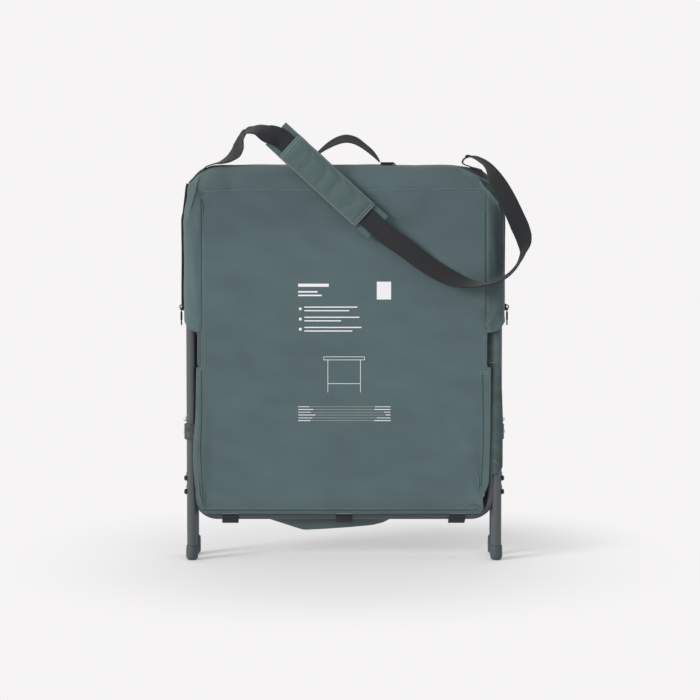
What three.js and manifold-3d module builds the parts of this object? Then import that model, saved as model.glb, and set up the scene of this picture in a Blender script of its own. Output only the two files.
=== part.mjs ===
import * as THREE from 'three';
import { mergeVertices } from 'three/addons/utils/BufferGeometryUtils.js';
import Module from 'manifold-3d';

const wasm = await Module();
wasm.setup();

// Folding camping kitchen unit, folded flat and standing on its feet.
// Millimetres, +Z up, front towards -Y, left and right as seen from the front.
// The origin is on the ground, in the middle between the four feet.

// Clearances
const fit = 0.3; // between pieces that touch
const turnFit = 0.4; // all round a pin in its hole
const overrun = 6; // how far a cutter runs past the face that it cuts

// Frame tubes
const legSpread = 602; // between the left and right leg axes
const frameSpread = 60; // between the front and rear leg axes, folded
const legRadius = 10;
const tubeWall = 1.2;
const bowBend = 80; // axis radius at the bow's corners
const spigotLength = 22;
const spigotWall = 2;
const spigotSeat = 5;

// Lower bar, whose upturned ends are screwed to the legs
const barRadius = 8;
const barHeight = 89;
const barBend = 40;
const barInset = 11; // its upturned end's axis, inboard of the leg's axis
const barEndRise = 94;
const screwDrops = [20, 47]; // below the top of the bar's upturned end
const screwRadius = 2.6;
const screwHeadRadius = 5.6;
const screwHeadHeight = 5;

// Feet
const capFloor = 4;
const capSoleRadius = 7;
const capBulge = 7;
const capRadii = { front: 12, rear: 13.3 };
const capHeights = { front: 29, rear: 38 };

// Side rails: two half rails on each side at two heights
const railWidth = 16;
const railThickness = 3;
const lowPivotHeight = 280;
const highPivotGap = 10.7; // from the high pivots up to the bows' spigots
const pivotRadius = 3;
const pivotHeadRadius = 4.2;
const lowPivotHead = 6;
const highPivotHead = 1.6; // low, because the cover passes over it
const peenRadius = 5;
const peenHeight = 2;

// Collar under each lower pivot
const collarRadius = 14.5;
const collarHeight = 31;
const collarEdge = 2;
const collarPinRadius = 3.4;
const collarPinHeight = 2.6;

// Cover
const ridgeHeight = 781;
const ridgeRadius = 50; // of the rounding over the top, front to back
const coverThickness = 2.5;
const coverEase = 6.5; // between the legs and the cover's sides
const zipDepth = 16; // the zip's line, behind the middle
const hemHeight = 92;
const hemCorner = 22;
const skirtHeight = 385; // below it the front panel is wider
const skirtFlare = 11.5; // beyond the front seams, on each side
const gussetWidth = 39; // from the front seam to the side
const sideHemHeight = 476;
const hoodHemHeight = 451;
const looseCorner = 12;

// Webbing tabs round the front lower bar
const tabWidth = 32;
const webbing = 2;
const tabSlack = 5.4;
const tabEndGap = 9; // from the outer tabs to the bar's bends

// Zip sliders and their pull tabs
const sliderHeight = 498;
const sliderTravel = 165;
const sliderLength = 13;
const sliderWidth = 9;
const sliderDepth = 4.5;
const bailWidth = 2.4;
const bailBore = 1.25; // from the pull's axis to the bail's inside
const pullBar = 1.4;
const pullWidth = 8;
const pullFrame = 9;
const pullLength = 33;
const pullTabWidth = 4.4;

// Shoulder strap and pad
const strapWidth = 38;
const strapThickness = 2.2;
const padLength = 204;
const padWidth = 60;
const padThickness = 11;
const flapLength = 34;
const flapThickness = 1.6;
const padPlay = 0.6; // between strap and pad, face to face

// Grab handle
const handleWidth = 24;
const handleThickness = 2.4;
const handleEndLength = 30;
const handleEndHeight = 5;
const handleHalfSpan = 68;
const handleCentre = 3;

// Stowed worktop and shelf
const leafWidth = 460;
const leafHeight = 420;
const leafThickness = 8;
const leafCorner = 12;
const stripWall = 1.5;
const stripDepth = 12;
const shelfWidth = 540;
const shelfHeight = 330;

// Folded fabric body, and its side that wraps the right leg
const bodyWidth = 540;
const bodyTop = 560;
const bodyBase = 84;
const bodyRound = 9;
const sagDepth = 23;
const sagLeft = 152;
const sagRight = 94;
const wrapThickness = 1.5;
const wrapBottom = 186;
const wrapTop = 470;
const wrapSteps = 10;

// Roundness
const tubeSides = 16;
const smallSides = 12;
const bendSteps = 6;
const strapStepsPerPoint = 2;

// Colours
const framePaint = { color: 0x5d6265, roughness: 0.45, metalness: 0.5 };
const blackPlastic = { color: 0x2f3133, roughness: 0.6, metalness: 0 };
const capPlastic = { color: 0x53575b, roughness: 0.6, metalness: 0 };
const blackSteel = { color: 0x222326, roughness: 0.4, metalness: 0.7 };
const paleSteel = { color: 0xc9c9c6, roughness: 0.3, metalness: 0.9 };
const coverCloth = { color: 0x5a6c6e, roughness: 0.9, metalness: 0 };
const webbingCloth = { color: 0x313436, roughness: 0.95, metalness: 0 };
const boardFinish = { color: 0x8d9091, roughness: 0.5, metalness: 0.1 };

// Values that follow from the sizes above
const legX = legSpread / 2;
const frameY = frameSpread / 2;
const barX = legX - barInset;
const barEndTop = barHeight + barEndRise;
const innerRidge = ridgeRadius - coverThickness;
const ridgeCentre = ridgeHeight - ridgeRadius;
const bowTop = ridgeCentre + Math.sqrt((innerRidge - legRadius - fit) ** 2 - frameY ** 2);
const legTop = bowTop - bowBend - fit;
const legBottom = capFloor + fit;
const highPivotHeight = legTop - spigotLength - highPivotGap;
const railLength = (highPivotHeight - lowPivotHeight - railWidth) / 2; // between a half rail's two pivots
const coverX = legX + legRadius + coverEase;
const seamX = coverX - gussetWidth;
const skirtHalfWidth = seamX + skirtFlare;
const tabSpacing = barX - barBend - tabEndGap - tabWidth / 2;
const loopOuter = barRadius + turnFit + webbing;
const coverFoot = frameY + loopOuter + fit + coverThickness;
const railPlanes = outerAndInnerPlanes();
const sides = [{ name: 'left', sign: -1 }, { name: 'right', sign: 1 }];
const frames = [{ name: 'front', sign: -1 }, { name: 'rear', sign: 1 }];

// Distances from the middle of the unit to the faces of a side's two rails
function outerAndInnerPlanes() {
  const outerFace = legX - legRadius - 2 * fit;
  const outerBack = outerFace - railThickness;
  const innerFace = outerBack - fit;
  return { outerFace, outerBack, innerFace, innerBack: innerFace - railThickness };
}

// A closed geometry with shared vertices and its faces outwards
function closed(geometry) {
  const bare = geometry.index ? geometry.toNonIndexed() : geometry.clone();
  bare.deleteAttribute('normal');
  bare.deleteAttribute('uv');
  const merged = mergeVertices(bare, 1e-4);
  const place = merged.attributes.position;
  const corners = merged.index.array;
  const [a, b, c] = [new THREE.Vector3(), new THREE.Vector3(), new THREE.Vector3()];
  let volume = 0;
  for (let i = 0; i < corners.length; i += 3) {
    a.fromBufferAttribute(place, corners[i]);
    b.fromBufferAttribute(place, corners[i + 1]);
    c.fromBufferAttribute(place, corners[i + 2]);
    volume += a.dot(b.cross(c));
  }
  if (volume < 0) {
    for (let i = 0; i < corners.length; i += 3) {
      [corners[i + 1], corners[i + 2]] = [corners[i + 2], corners[i + 1]];
    }
  }
  return merged;
}

function solid(geometry) {
  const shape = closed(geometry);
  return new wasm.Manifold(new wasm.Mesh({
    numProp: 3,
    vertProperties: new Float32Array(shape.attributes.position.array),
    triVerts: new Uint32Array(shape.index.array),
  }));
}

function geometryOf(body) {
  const mesh = body.getMesh();
  const geometry = new THREE.BufferGeometry();
  geometry.setAttribute('position', new THREE.BufferAttribute(mesh.vertProperties, 3));
  geometry.setIndex(new THREE.BufferAttribute(mesh.triVerts, 1));
  return geometry;
}

function join(geometries) {
  return geometryOf(geometries.map(solid).reduce((sum, next) => sum.add(next)));
}

function cut(geometry, cutters) {
  return geometryOf(cutters.map(solid).reduce((rest, next) => rest.subtract(next), solid(geometry)));
}

function overlapOf(geometries) {
  return geometryOf(geometries.map(solid).reduce((common, next) => common.intersect(next)));
}

// A turned piece from [radius, height] pairs, its axis along Z
function turned(profile, sidesRound) {
  const points = profile.map(([radius, height]) => new THREE.Vector2(radius, height));
  return new THREE.LatheGeometry(points, sidesRound).rotateX(Math.PI / 2);
}

function ring(outer, inner, from, to, sidesRound) {
  return turned([[inner, from], [outer, from], [outer, to], [inner, to], [inner, from]], sidesRound);
}

function block(from, to) {
  const size = to.map((value, i) => value - from[i]);
  const middle = to.map((value, i) => (value + from[i]) / 2);
  return new THREE.BoxGeometry(...size).translate(...middle);
}

// A shape drawn as seen from the front, made thick along Y
function throughY(shape, from, to, curveSegments = bendSteps) {
  const flat = new THREE.ExtrudeGeometry(shape, { depth: to - from, bevelEnabled: false, curveSegments });
  return flat.rotateX(Math.PI / 2).translate(0, to, 0);
}

// A shape drawn as seen from the right (Y across, Z up), made thick along X
function throughX(shape, from, to, curveSegments = bendSteps) {
  const flat = new THREE.ExtrudeGeometry(shape, { depth: to - from, bevelEnabled: false, curveSegments });
  return flat.rotateX(Math.PI / 2).rotateZ(Math.PI / 2).translate(from, 0, 0);
}

// A shape drawn as seen from above, made thick along Z
function throughZ(shape, from, to, curveSegments = bendSteps) {
  const flat = new THREE.ExtrudeGeometry(shape, { depth: to - from, bevelEnabled: false, curveSegments });
  return flat.translate(0, 0, from);
}

function shapeOf(points) {
  return new THREE.Shape(points.map(([across, up]) => new THREE.Vector2(across, up)));
}

// A turned piece laid along X: heights run outwards from the unit's middle
function alongX(geometry, sign, y, z) {
  return geometry.rotateY(sign * Math.PI / 2).translate(0, y, z);
}

function hole(radius, from, to, sign, y, z) {
  return alongX(new THREE.CylinderGeometry(radius, radius, to - from, smallSides)
    .rotateX(Math.PI / 2)
    .translate(0, 0, (from + to) / 2), sign, y, z);
}

// A bent tube's path: its stations are its even steps
class BentPath extends THREE.Curve {
  constructor(stations) {
    super();
    this.stations = stations;
  }

  station(t) {
    return this.stations[Math.round(t * (this.stations.length - 1))];
  }

  getPoint(t) {
    return this.station(t).point.clone();
  }

  getTangent(t) {
    return this.station(t).tangent.clone();
  }

  getUtoTmapping(u) {
    return u;
  }
}

// Stations of a U in the XZ plane, from its left end over the flat to its right end
function uStations(halfSpan, endHeight, flatHeight, bend) {
  const way = Math.sign(flatHeight - endHeight);
  const left = [];
  for (let i = 0; i <= bendSteps; i += 1) {
    const angle = (i / bendSteps) * Math.PI / 2;
    const x = -halfSpan + bend - bend * Math.cos(angle);
    const z = flatHeight - way * bend * (1 - Math.sin(angle));
    left.push({
      point: new THREE.Vector3(x, 0, z),
      tangent: new THREE.Vector3(Math.sin(angle), 0, way * Math.cos(angle)),
    });
  }
  if (Math.abs(left[0].point.z - endHeight) > fit) {
    left.unshift({
      point: new THREE.Vector3(-halfSpan, 0, endHeight),
      tangent: new THREE.Vector3(0, 0, way),
    });
  }
  const right = left.map(({ point, tangent }) => ({
    point: new THREE.Vector3(-point.x, 0, point.z),
    tangent: new THREE.Vector3(tangent.x, 0, -tangent.z),
  })).reverse();
  return [...left, ...right];
}

function bentTube(stations, radius) {
  const section = new THREE.Shape();
  section.absarc(0, 0, radius, 0, 2 * Math.PI);
  const bore = new THREE.Path();
  bore.absarc(0, 0, radius - tubeWall, 0, 2 * Math.PI);
  section.holes.push(bore);
  return new THREE.ExtrudeGeometry(section, {
    extrudePath: new BentPath(stations),
    steps: stations.length - 1,
    curveSegments: tubeSides / 2,
  });
}

// Webbing along a route of [x, y, z, turn, width share]: at turn 0 its width lies along Y,
// and at 90 degrees it faces the front
class WebbingPath extends THREE.CatmullRomCurve3 {
  constructor(route) {
    super(route.map(([x, y, z]) => new THREE.Vector3(x, y, z)), false, 'centripetal');
    this.turns = route.map((row) => THREE.MathUtils.degToRad(row[3]));
    this.widthShares = route.map((row) => row[4] ?? 1);
  }

  getUtoTmapping(u) {
    return u;
  }

  valueAt(values, u) {
    const at = u * (values.length - 1);
    const low = Math.min(Math.floor(at), values.length - 2);
    return THREE.MathUtils.lerp(values[low], values[low + 1], at - low);
  }

  computeFrenetFrames(segments) {
    const frames3 = { tangents: [], normals: [], binormals: [] };
    for (let i = 0; i <= segments; i += 1) {
      const u = i / segments;
      const { along, across, face } = webbingAxes(this.getTangent(u), this.valueAt(this.turns, u));
      frames3.tangents.push(along);
      frames3.normals.push(across.multiplyScalar(this.valueAt(this.widthShares, u)));
      frames3.binormals.push(face);
    }
    return frames3;
  }
}

function webbingAxes(tangent, turn) {
  const along = tangent.clone().normalize();
  const level = new THREE.Vector3(0, 1, 0).addScaledVector(along, -along.y).normalize();
  const upright = along.clone().cross(level);
  const across = level.multiplyScalar(Math.cos(turn)).addScaledVector(upright, Math.sin(turn));
  return { along, across, face: along.clone().cross(across) };
}

function webbingStrip(route, width, thickness) {
  const section = shapeOf([
    [-width / 2, -thickness / 2],
    [width / 2, -thickness / 2],
    [width / 2, thickness / 2],
    [-width / 2, thickness / 2],
  ]);
  return new THREE.ExtrudeGeometry(section, {
    extrudePath: new WebbingPath(route),
    steps: strapStepsPerPoint * (route.length - 1),
  });
}

// Frame

function legHoles(side, frame, highest) {
  const y = frame.sign * frameY;
  const from = legX - legRadius - overrun;
  const to = legX + legRadius + overrun;
  const holes = [lowPivotHeight, highPivotHeight]
    .map((z) => hole(pivotRadius + turnFit, from, to, side.sign, y, z));
  screwDrops.forEach((drop) => {
    holes.push(hole(screwRadius + turnFit, from, highest, side.sign, y, barEndTop - drop));
  });
  return holes;
}

function leg(side, frame) {
  const tube = ring(legRadius, legRadius - tubeWall, legBottom, legTop, tubeSides)
    .translate(side.sign * legX, frame.sign * frameY, 0);
  return cut(tube, legHoles(side, frame, legX + legRadius + overrun));
}

function topBow(frame) {
  const bow = bentTube(uStations(legX, bowTop - bowBend, bowTop, bowBend), legRadius);
  const boreFit = legRadius - tubeWall - fit;
  const seat = legRadius - tubeWall / 2;
  const start = bowTop - bowBend;
  const spigot = [
    [boreFit - spigotWall, start - spigotLength],
    [boreFit, start - spigotLength],
    [boreFit, start],
    [seat, start],
    [seat, start + spigotSeat],
    [boreFit - spigotWall, start + spigotSeat],
    [boreFit - spigotWall, start - spigotLength],
  ];
  const spigots = sides.map(({ sign }) => turned(spigot, smallSides).translate(sign * legX, 0, 0));
  return join([bow, ...spigots]).translate(0, frame.sign * frameY, 0);
}

function lowerBar(frame) {
  const y = frame.sign * frameY;
  const bar = bentTube(uStations(barX, barEndTop, barHeight, barBend), barRadius).translate(0, y, 0);
  const cutters = [];
  for (const side of sides) {
    const legBore = legRadius + fit;
    cutters.push(new THREE.CylinderGeometry(legBore, legBore, barEndRise + barEndTop, tubeSides)
      .rotateX(Math.PI / 2)
      .translate(side.sign * legX, y, barEndTop));
    for (const drop of screwDrops) {
      const height = barEndTop - drop;
      cutters.push(hole(screwRadius + turnFit, barX - barRadius - overrun, legX, side.sign, y, height));
    }
  }
  return cut(bar, cutters);
}

function footCap(side, frame) {
  const radius = capRadii[frame.name];
  const height = capHeights[frame.name];
  const bore = legRadius + fit;
  const halfBulgeRadius = capSoleRadius + (radius - capSoleRadius) * Math.SQRT1_2;
  const halfBulgeHeight = capBulge * (1 - Math.SQRT1_2);
  const profile = [
    [0, 0],
    [capSoleRadius, 0],
    [halfBulgeRadius, halfBulgeHeight],
    [radius, capBulge],
    [radius, height - capBulge / 2],
    [(radius + bore) / 2, height],
    [bore, height],
    [bore, capFloor],
    [0, capFloor],
  ];
  return turned(profile, tubeSides).translate(side.sign * legX, frame.sign * frameY, 0);
}

function barScrew(side, frame, drop) {
  const under = legX + legRadius + fit;
  const end = barX - barRadius - fit;
  const profile = [
    [0, end],
    [screwRadius, end],
    [screwRadius, under],
    [screwHeadRadius, under],
    [screwHeadRadius, under + screwHeadHeight / 3],
    [screwHeadRadius * Math.SQRT1_2, under + screwHeadHeight - screwHeadHeight / 6],
    [screwHeadRadius / 3, under + screwHeadHeight],
    [0, under + screwHeadHeight],
  ];
  return alongX(turned(profile, smallSides), side.sign, frame.sign * frameY, barEndTop - drop);
}

function collar(side, frame) {
  const top = lowPivotHeight - railWidth / 2 - 2 * fit;
  const base = top - collarHeight;
  const bore = legRadius + fit;
  const tube = turned([
    [bore, base],
    [collarRadius - collarEdge, base],
    [collarRadius, base + collarEdge],
    [collarRadius, top - collarEdge],
    [collarRadius - collarEdge, top],
    [bore, top],
    [bore, base],
  ], tubeSides).translate(side.sign * legX, 0, 0);
  const from = legX + (bore + collarRadius) / 2;
  const to = legX + collarRadius + collarPinHeight;
  const pin = alongX(turned([
    [0, from],
    [collarPinRadius, from],
    [collarPinRadius, to - collarPinHeight / 2],
    [collarPinRadius / 2, to],
    [0, to],
  ], smallSides), side.sign, 0, (base + top) / 2);
  return join([tube, pin]).translate(0, frame.sign * frameY, 0);
}

// The front pivots carry the outer rail, and the rear ones reach in to the inner rail past a shoulder
function pivot(side, frame, height, headHeight) {
  const under = legX + legRadius + fit;
  const inFront = frame.sign < 0;
  const railBack = inFront ? railPlanes.outerBack : railPlanes.innerBack;
  const shoulderRadius = inFront ? pivotRadius : peenRadius;
  const shoulderFrom = inFront ? railPlanes.outerFace : railPlanes.innerFace + fit;
  const profile = [
    [0, railBack - fit - peenHeight],
    [peenRadius - peenHeight / 2, railBack - fit - peenHeight],
    [peenRadius, railBack - fit],
    [pivotRadius, railBack - fit],
  ];
  if (!inFront) {
    profile.push(
      [pivotRadius, shoulderFrom],
      [shoulderRadius, shoulderFrom],
      [shoulderRadius, legX - legRadius - fit],
      [pivotRadius, legX - legRadius - fit],
    );
  }
  profile.push(
    [pivotRadius, under],
    [pivotHeadRadius, under],
    [pivotHeadRadius, under + headHeight / 2],
    [pivotHeadRadius * Math.SQRT1_2, under + headHeight * Math.sqrt(3) / 2],
    [0, under + headHeight],
  );
  return alongX(turned(profile, smallSides), side.sign, frame.sign * frameY, height);
}

// Side rails

function railShape(from, to, holes) {
  const along = Math.atan2(to[1] - from[1], to[0] - from[0]);
  const shape = new THREE.Shape();
  shape.absarc(from[0], from[1], railWidth / 2, along + Math.PI / 2, along + 3 * Math.PI / 2);
  shape.absarc(to[0], to[1], railWidth / 2, along - Math.PI / 2, along + Math.PI / 2);
  for (const [y, z] of holes) {
    const bore = new THREE.Path();
    bore.absarc(y, z, pivotRadius + turnFit, 0, 2 * Math.PI);
    shape.holes.push(bore);
  }
  return shape;
}

function elbowPlace(height, way) {
  return [0, height + way * Math.sqrt(railLength ** 2 - frameY ** 2)];
}

function placedPlate(shape, face, back, sign) {
  return sign > 0 ? throughX(shape, back, face) : throughX(shape, -face, -back);
}

function frontRail(side, height, way) {
  const start = [-frameY, height];
  const elbow = elbowPlace(height, way);
  const { outerFace, outerBack, innerBack } = railPlanes;
  const plate = placedPlate(railShape(start, elbow, [start]), outerFace, outerBack, side.sign);
  const middle = (outerFace + outerBack) / 2;
  const rivet = alongX(turned([
    [0, innerBack - fit - peenHeight],
    [peenRadius - peenHeight / 2, innerBack - fit - peenHeight],
    [peenRadius, innerBack - fit],
    [pivotRadius, innerBack - fit],
    [pivotRadius, middle],
    [peenRadius, middle],
    [peenRadius, outerFace + peenHeight / 2],
    [peenRadius - peenHeight / 2, outerFace + peenHeight],
    [0, outerFace + peenHeight],
  ], smallSides), side.sign, ...elbow);
  return join([plate, rivet]);
}

function rearRail(side, height, way) {
  const end = [frameY, height];
  const elbow = elbowPlace(height, way);
  const { innerFace, innerBack } = railPlanes;
  return placedPlate(railShape(elbow, end, [elbow, end]), innerFace, innerBack, side.sign);
}

// Cover

// Each corner from the side up to the ridge: shares of the corner's reach, inwards and down
const leftCornerShares = [
  [0, 0.99], [0.012, 0.93], [0.03, 0.85], [0.045, 0.76], [0.062, 0.66], [0.075, 0.54], [0.093, 0.345],
  [0.19, 0.24], [0.282, 0.136], [0.395, 0.064], [0.505, 0.018], [0.705, 0],
];
const rightCornerShares = [
  [0, 0.9], [0.027, 0.773], [0.1, 0.582], [0.245, 0.364], [0.464, 0.2], [0.71, 0.077], [0.98, 0],
];
const cornerReach = bowBend + legRadius + ridgeRadius * 2 / 5;

// The gusset's rounding from the front seam to the side: shares of its width and of its depth
const gussetShares = [[0, 0], [0.58, 0.13], [0.86, 0.4], [0.97, 0.8], [1, 1.3]];

// The hood's side hem, from the side to the front panel: shares of the gusset's width and of its rise
const sideHemShares = [[0, 0], [0.3, 0.72], [0.62, 0.92], [1, 1]];

function cornerPoints(shares, sign, inset) {
  return shares.map(([inward, down]) => [
    sign * (coverX - inset - inward * cornerReach),
    ridgeHeight - inset - down * cornerReach,
  ]);
}

function sideHem(sign) {
  const rise = sideHemHeight - hoodHemHeight;
  return sideHemShares.map(([inward, down]) => [
    sign * (coverX - inward * gussetWidth),
    sideHemHeight - down * rise,
  ]);
}

function crown(inset) {
  const left = cornerPoints(leftCornerShares, -1, inset);
  const right = cornerPoints(rightCornerShares, 1, inset).reverse();
  return [...left, ...right];
}

// One half of the cover as seen from the front: hood, notches and skirt
function coverOutline(loose) {
  return shapeOf([
    [-skirtHalfWidth + hemCorner, hemHeight],
    [-skirtHalfWidth, hemHeight + hemCorner],
    [-skirtHalfWidth, skirtHeight],
    [-seamX - coverThickness, skirtHeight],
    ...sideHem(-1).reverse(),
    ...crown(0),
    ...sideHem(1),
    [seamX + coverThickness, skirtHeight],
    [skirtHalfWidth, skirtHeight],
    [skirtHalfWidth, barEndTop],
    [skirtHalfWidth - loose, barEndTop - hemCorner],
    [skirtHalfWidth - loose, hemHeight + hemCorner],
    [skirtHalfWidth - hemCorner, hemHeight],
  ]);
}

function cavityOutline() {
  const wide = coverX + overrun;
  const below = hoodHemHeight - overrun;
  return shapeOf([
    [-wide, hemHeight - overrun],
    [-wide, below],
    [-coverX + coverThickness, below],
    ...crown(coverThickness),
    [coverX - coverThickness, below],
    [wide, below],
    [wide, hemHeight - overrun],
  ]);
}

// The cover as seen from the side, rounded over the top
function coverSection(inset, below) {
  const foot = coverFoot - inset;
  const radius = ridgeRadius - inset;
  const shape = new THREE.Shape();
  shape.moveTo(-foot, hemHeight - below);
  shape.lineTo(foot, hemHeight - below);
  shape.lineTo(radius, ridgeCentre);
  shape.absarc(0, ridgeCentre, radius, 0, Math.PI);
  shape.lineTo(-foot, hemHeight - below);
  return shape;
}

// The cover as seen from above
function coverPlan(inset) {
  const depth = ridgeRadius - frameY;
  const quarter = gussetShares.map(([out, back]) => [
    seamX + out * gussetWidth - inset,
    ridgeRadius - inset - back * depth,
  ]);
  const frontRight = quarter.map(([x, y]) => [x, -y]);
  const rearRight = [...quarter].reverse();
  const rearLeft = quarter.map(([x, y]) => [-x, y]);
  const frontLeft = [...quarter].reverse().map(([x, y]) => [-x, -y]);
  return shapeOf([...frontRight, ...rearRight, ...rearLeft, ...frontLeft]);
}

function coverHalf(from, to, loose) {
  const wide = coverX + 2 * overrun;
  const high = ridgeHeight + overrun;
  const outside = overlapOf([
    throughY(coverOutline(loose), from, to),
    throughX(coverSection(0, 0), -wide, wide, 2 * bendSteps),
    throughZ(coverPlan(0), 0, high),
  ]);
  const inside = overlapOf([
    throughY(cavityOutline(), -ridgeRadius - overrun, ridgeRadius + overrun),
    throughX(coverSection(coverThickness, overrun), -wide, wide, 2 * bendSteps),
    throughZ(coverPlan(coverThickness), 0, high),
  ]);
  return cut(outside, [inside]);
}

function barTab(x) {
  const loop = (radius) => {
    const shape = new THREE.Shape();
    shape.absarc(-frameY, barHeight, radius, 0, Math.PI);
    shape.absarc(-frameY, barHeight - tabSlack, radius, Math.PI, 2 * Math.PI);
    return shape;
  };
  const shape = loop(loopOuter);
  shape.holes.push(loop(loopOuter - webbing));
  return throughX(shape, x - tabWidth / 2, x + tabWidth / 2);
}

// Zips

const sliderFace = coverX + fit + sliderDepth;
const pullAxis = sliderFace + bailBore;
const pullHeight = sliderHeight - sliderLength / 4;

function zipSlider(side) {
  const half = sliderLength / 2;
  const body = block(
    [coverX + fit, zipDepth - sliderWidth / 2, sliderHeight - half],
    [sliderFace, zipDepth + sliderWidth / 2, sliderHeight + half],
  );
  const outer = 2 * bailBore;
  const bail = block(
    [sliderFace - fit, zipDepth - bailWidth / 2, pullHeight - outer],
    [pullAxis + outer, zipDepth + bailWidth / 2, pullHeight + outer],
  );
  const gap = block(
    [sliderFace, zipDepth - bailWidth, pullHeight - bailBore],
    [pullAxis + bailBore, zipDepth + bailWidth, pullHeight + bailBore],
  );
  const slider = join([body, cut(bail, [gap])]);
  return side.sign > 0 ? slider : slider.rotateZ(Math.PI).translate(0, 2 * zipDepth, 0);
}

function zipPull(side) {
  const half = pullBar / 2;
  const shape = shapeOf([
    [zipDepth - pullWidth / 2, pullHeight + half],
    [zipDepth - pullWidth / 2, pullHeight - pullFrame * 3 / 4],
    [zipDepth - pullTabWidth / 2, pullHeight - pullFrame],
    [zipDepth - pullTabWidth / 2, pullHeight - pullLength],
    [zipDepth + pullTabWidth / 2, pullHeight - pullLength],
    [zipDepth + pullTabWidth / 2, pullHeight - pullFrame],
    [zipDepth + pullWidth / 2, pullHeight - pullFrame * 3 / 4],
    [zipDepth + pullWidth / 2, pullHeight + half],
  ]);
  const gapHalf = pullWidth / 2 - half * 2;
  shape.holes.push(new THREE.Path([
    new THREE.Vector2(zipDepth - gapHalf, pullHeight - half),
    new THREE.Vector2(zipDepth - gapHalf, pullHeight - pullFrame * 2 / 3),
    new THREE.Vector2(zipDepth + gapHalf, pullHeight - pullFrame * 2 / 3),
    new THREE.Vector2(zipDepth + gapHalf, pullHeight - half),
  ]));
  const middle = side.sign * pullAxis;
  return throughX(shape, middle - half, middle + half);
}

// Shoulder strap: its route, chosen by hand, from the left end sewn on the cover to the right one
const strapRoute = [
  [-306.4, -4, 746.2, 0],
  [-298.2, -4, 756.2, 0],
  [-288, -4, 767.6, 0],
  [-275.2, -4, 775.8, 0],
  [-262.4, -4, 780.8, 0],
  [-247.5, -4.5, 784.8, 3],
  [-227, -10, 794.5, 22],
  [-211, -18, 809, 40],
  [-200.5, -28, 829, 28],
  [-195.5, -37, 839, 14],
  [-186, -45.5, 848.5, 12],
  [-167, -54, 850, 32],
  [-149, -57.5, 842, 66],
  [-133, -54.2, 838, 86],
  [-119.7, -51.3, 830.1, 90],
  [-108.6, -52, 819.9, 90],
  [-58.2, -55.3, 773.7, 90],
  [-7.8, -58.7, 727.5, 90],
  [42.1, -62, 681.8, 90],
  [59.7, -63.2, 665.7, 90],
  [81, -64.6, 646.2, 90],
  [120, -64, 619, 82],
  [158, -62, 590, 68],
  [189, -63, 570.5, 60],
  [214, -65, 558.8, 48],
  [244, -69, 551.2, 22],
  [275, -70.5, 549.8, 3],
  [301, -69, 557, 6],
  [323, -66.5, 569.5, 2],
  [340.5, -64, 590.5, 1],
  [349.5, -61, 611, 10],
  [351.5, -59.5, 628, 38],
  [349.5, -59.5, 643, 54],
  [343, -60, 661, 64],
  [331, -62, 688, 60],
  [318.8, -64, 716, 50],
  [305.5, -64, 740, 46],
  [295.5, -62.5, 754.5, 44],
  [286, -57, 768, 34],
  [274, -41, 781.5, 18],
  [261, -19, 790.5, 6],
  [246, -4, 796, 0],
  [236, -4, 792.5, 0],
  [232.8, -4, 784.8, 0],
  [238.5, -4, 777.4, 0],
  [256, -4, 768.2, 0],
  [270, -4, 760.6, 0],
  [287, -4, 747, 0],
];
const padStartRow = 15;
const padEndRow = 18;

function rowPoint(row) {
  return new THREE.Vector3(strapRoute[row][0], strapRoute[row][1], strapRoute[row][2]);
}

// Half of the pad's section: shares of its half width and of its half thickness
const padSectionShares = [[0.35, 1], [0.72, 0.92], [0.93, 0.68], [1, 0.3]];

function padSection() {
  const corner = padSectionShares.map(([out, up]) => [out * padWidth / 2, up * padThickness / 2]);
  const lowerRight = [...corner].reverse().map(([x, y]) => [x, -y]);
  const lowerLeft = corner.map(([x, y]) => [-x, -y]);
  const upperLeft = [...corner].reverse().map(([x, y]) => [-x, y]);
  return shapeOf([...corner, ...lowerRight, ...lowerLeft, ...upperLeft].reverse());
}

function shoulderPad() {
  const gap = strapThickness / 2 + padPlay;
  const flapHalf = padWidth / 2;
  const sleeve = throughZ(padSection(), 0, padLength);
  const flap = block(
    [-flapHalf, -gap - flapThickness, -flapLength],
    [flapHalf, -gap, padLength + flapLength],
  );
  const slot = block(
    [-strapWidth / 2 - padPlay, -gap, -overrun],
    [strapWidth / 2 + padPlay, gap, padLength + overrun],
  );
  const pad = cut(join([sleeve, flap]), [slot]);
  const start = rowPoint(padStartRow);
  const { along, across, face } = webbingAxes(rowPoint(padEndRow).sub(start), Math.PI / 2);
  return pad.applyMatrix4(new THREE.Matrix4().makeBasis(across, face, along).setPosition(start));
}

// Grab handle: its rise over the ridge, chosen by hand, with narrowed ends
const handleRise = [
  [-63.7, 5.4, 8, 0.4],
  [-60, 13, 10, 0.55],
  [-48, 25, 16, 0.8],
  [-31, 37.5, 26, 1],
  [-13, 47, 36, 1],
  [4, 51, 40, 1],
  [21, 47.5, 36, 1],
  [38, 37, 26, 1],
  [54, 24, 16, 0.8],
  [66, 12.5, 10, 0.55],
  [69.7, 5.4, 8, 0.4],
];
const handleRoute = handleRise.map(([x, rise, ...rest]) => [x, 0, ridgeHeight + rise, ...rest]);

function handleEnd(side) {
  const start = handleHalfSpan + 2 * fit;
  return block(
    [handleCentre + Math.min(side.sign * start, side.sign * (start + handleEndLength)),
      -handleWidth / 2, ridgeHeight + fit],
    [handleCentre + Math.max(side.sign * start, side.sign * (start + handleEndLength)),
      handleWidth / 2, ridgeHeight + fit + handleEndHeight],
  );
}

// Stowed boards, standing on the tabs round the front lower bar

const boardBase = barHeight + loopOuter + fit;
const frontLeafY = -frameY - fit / 2 - leafThickness;
const rearLeafY = -frameY + fit / 2;
const stripBack = rearLeafY + leafThickness + fit + stripWall;
const shelfY = stripBack + fit;
const bodyFront = shelfY + leafThickness + fit;

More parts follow.
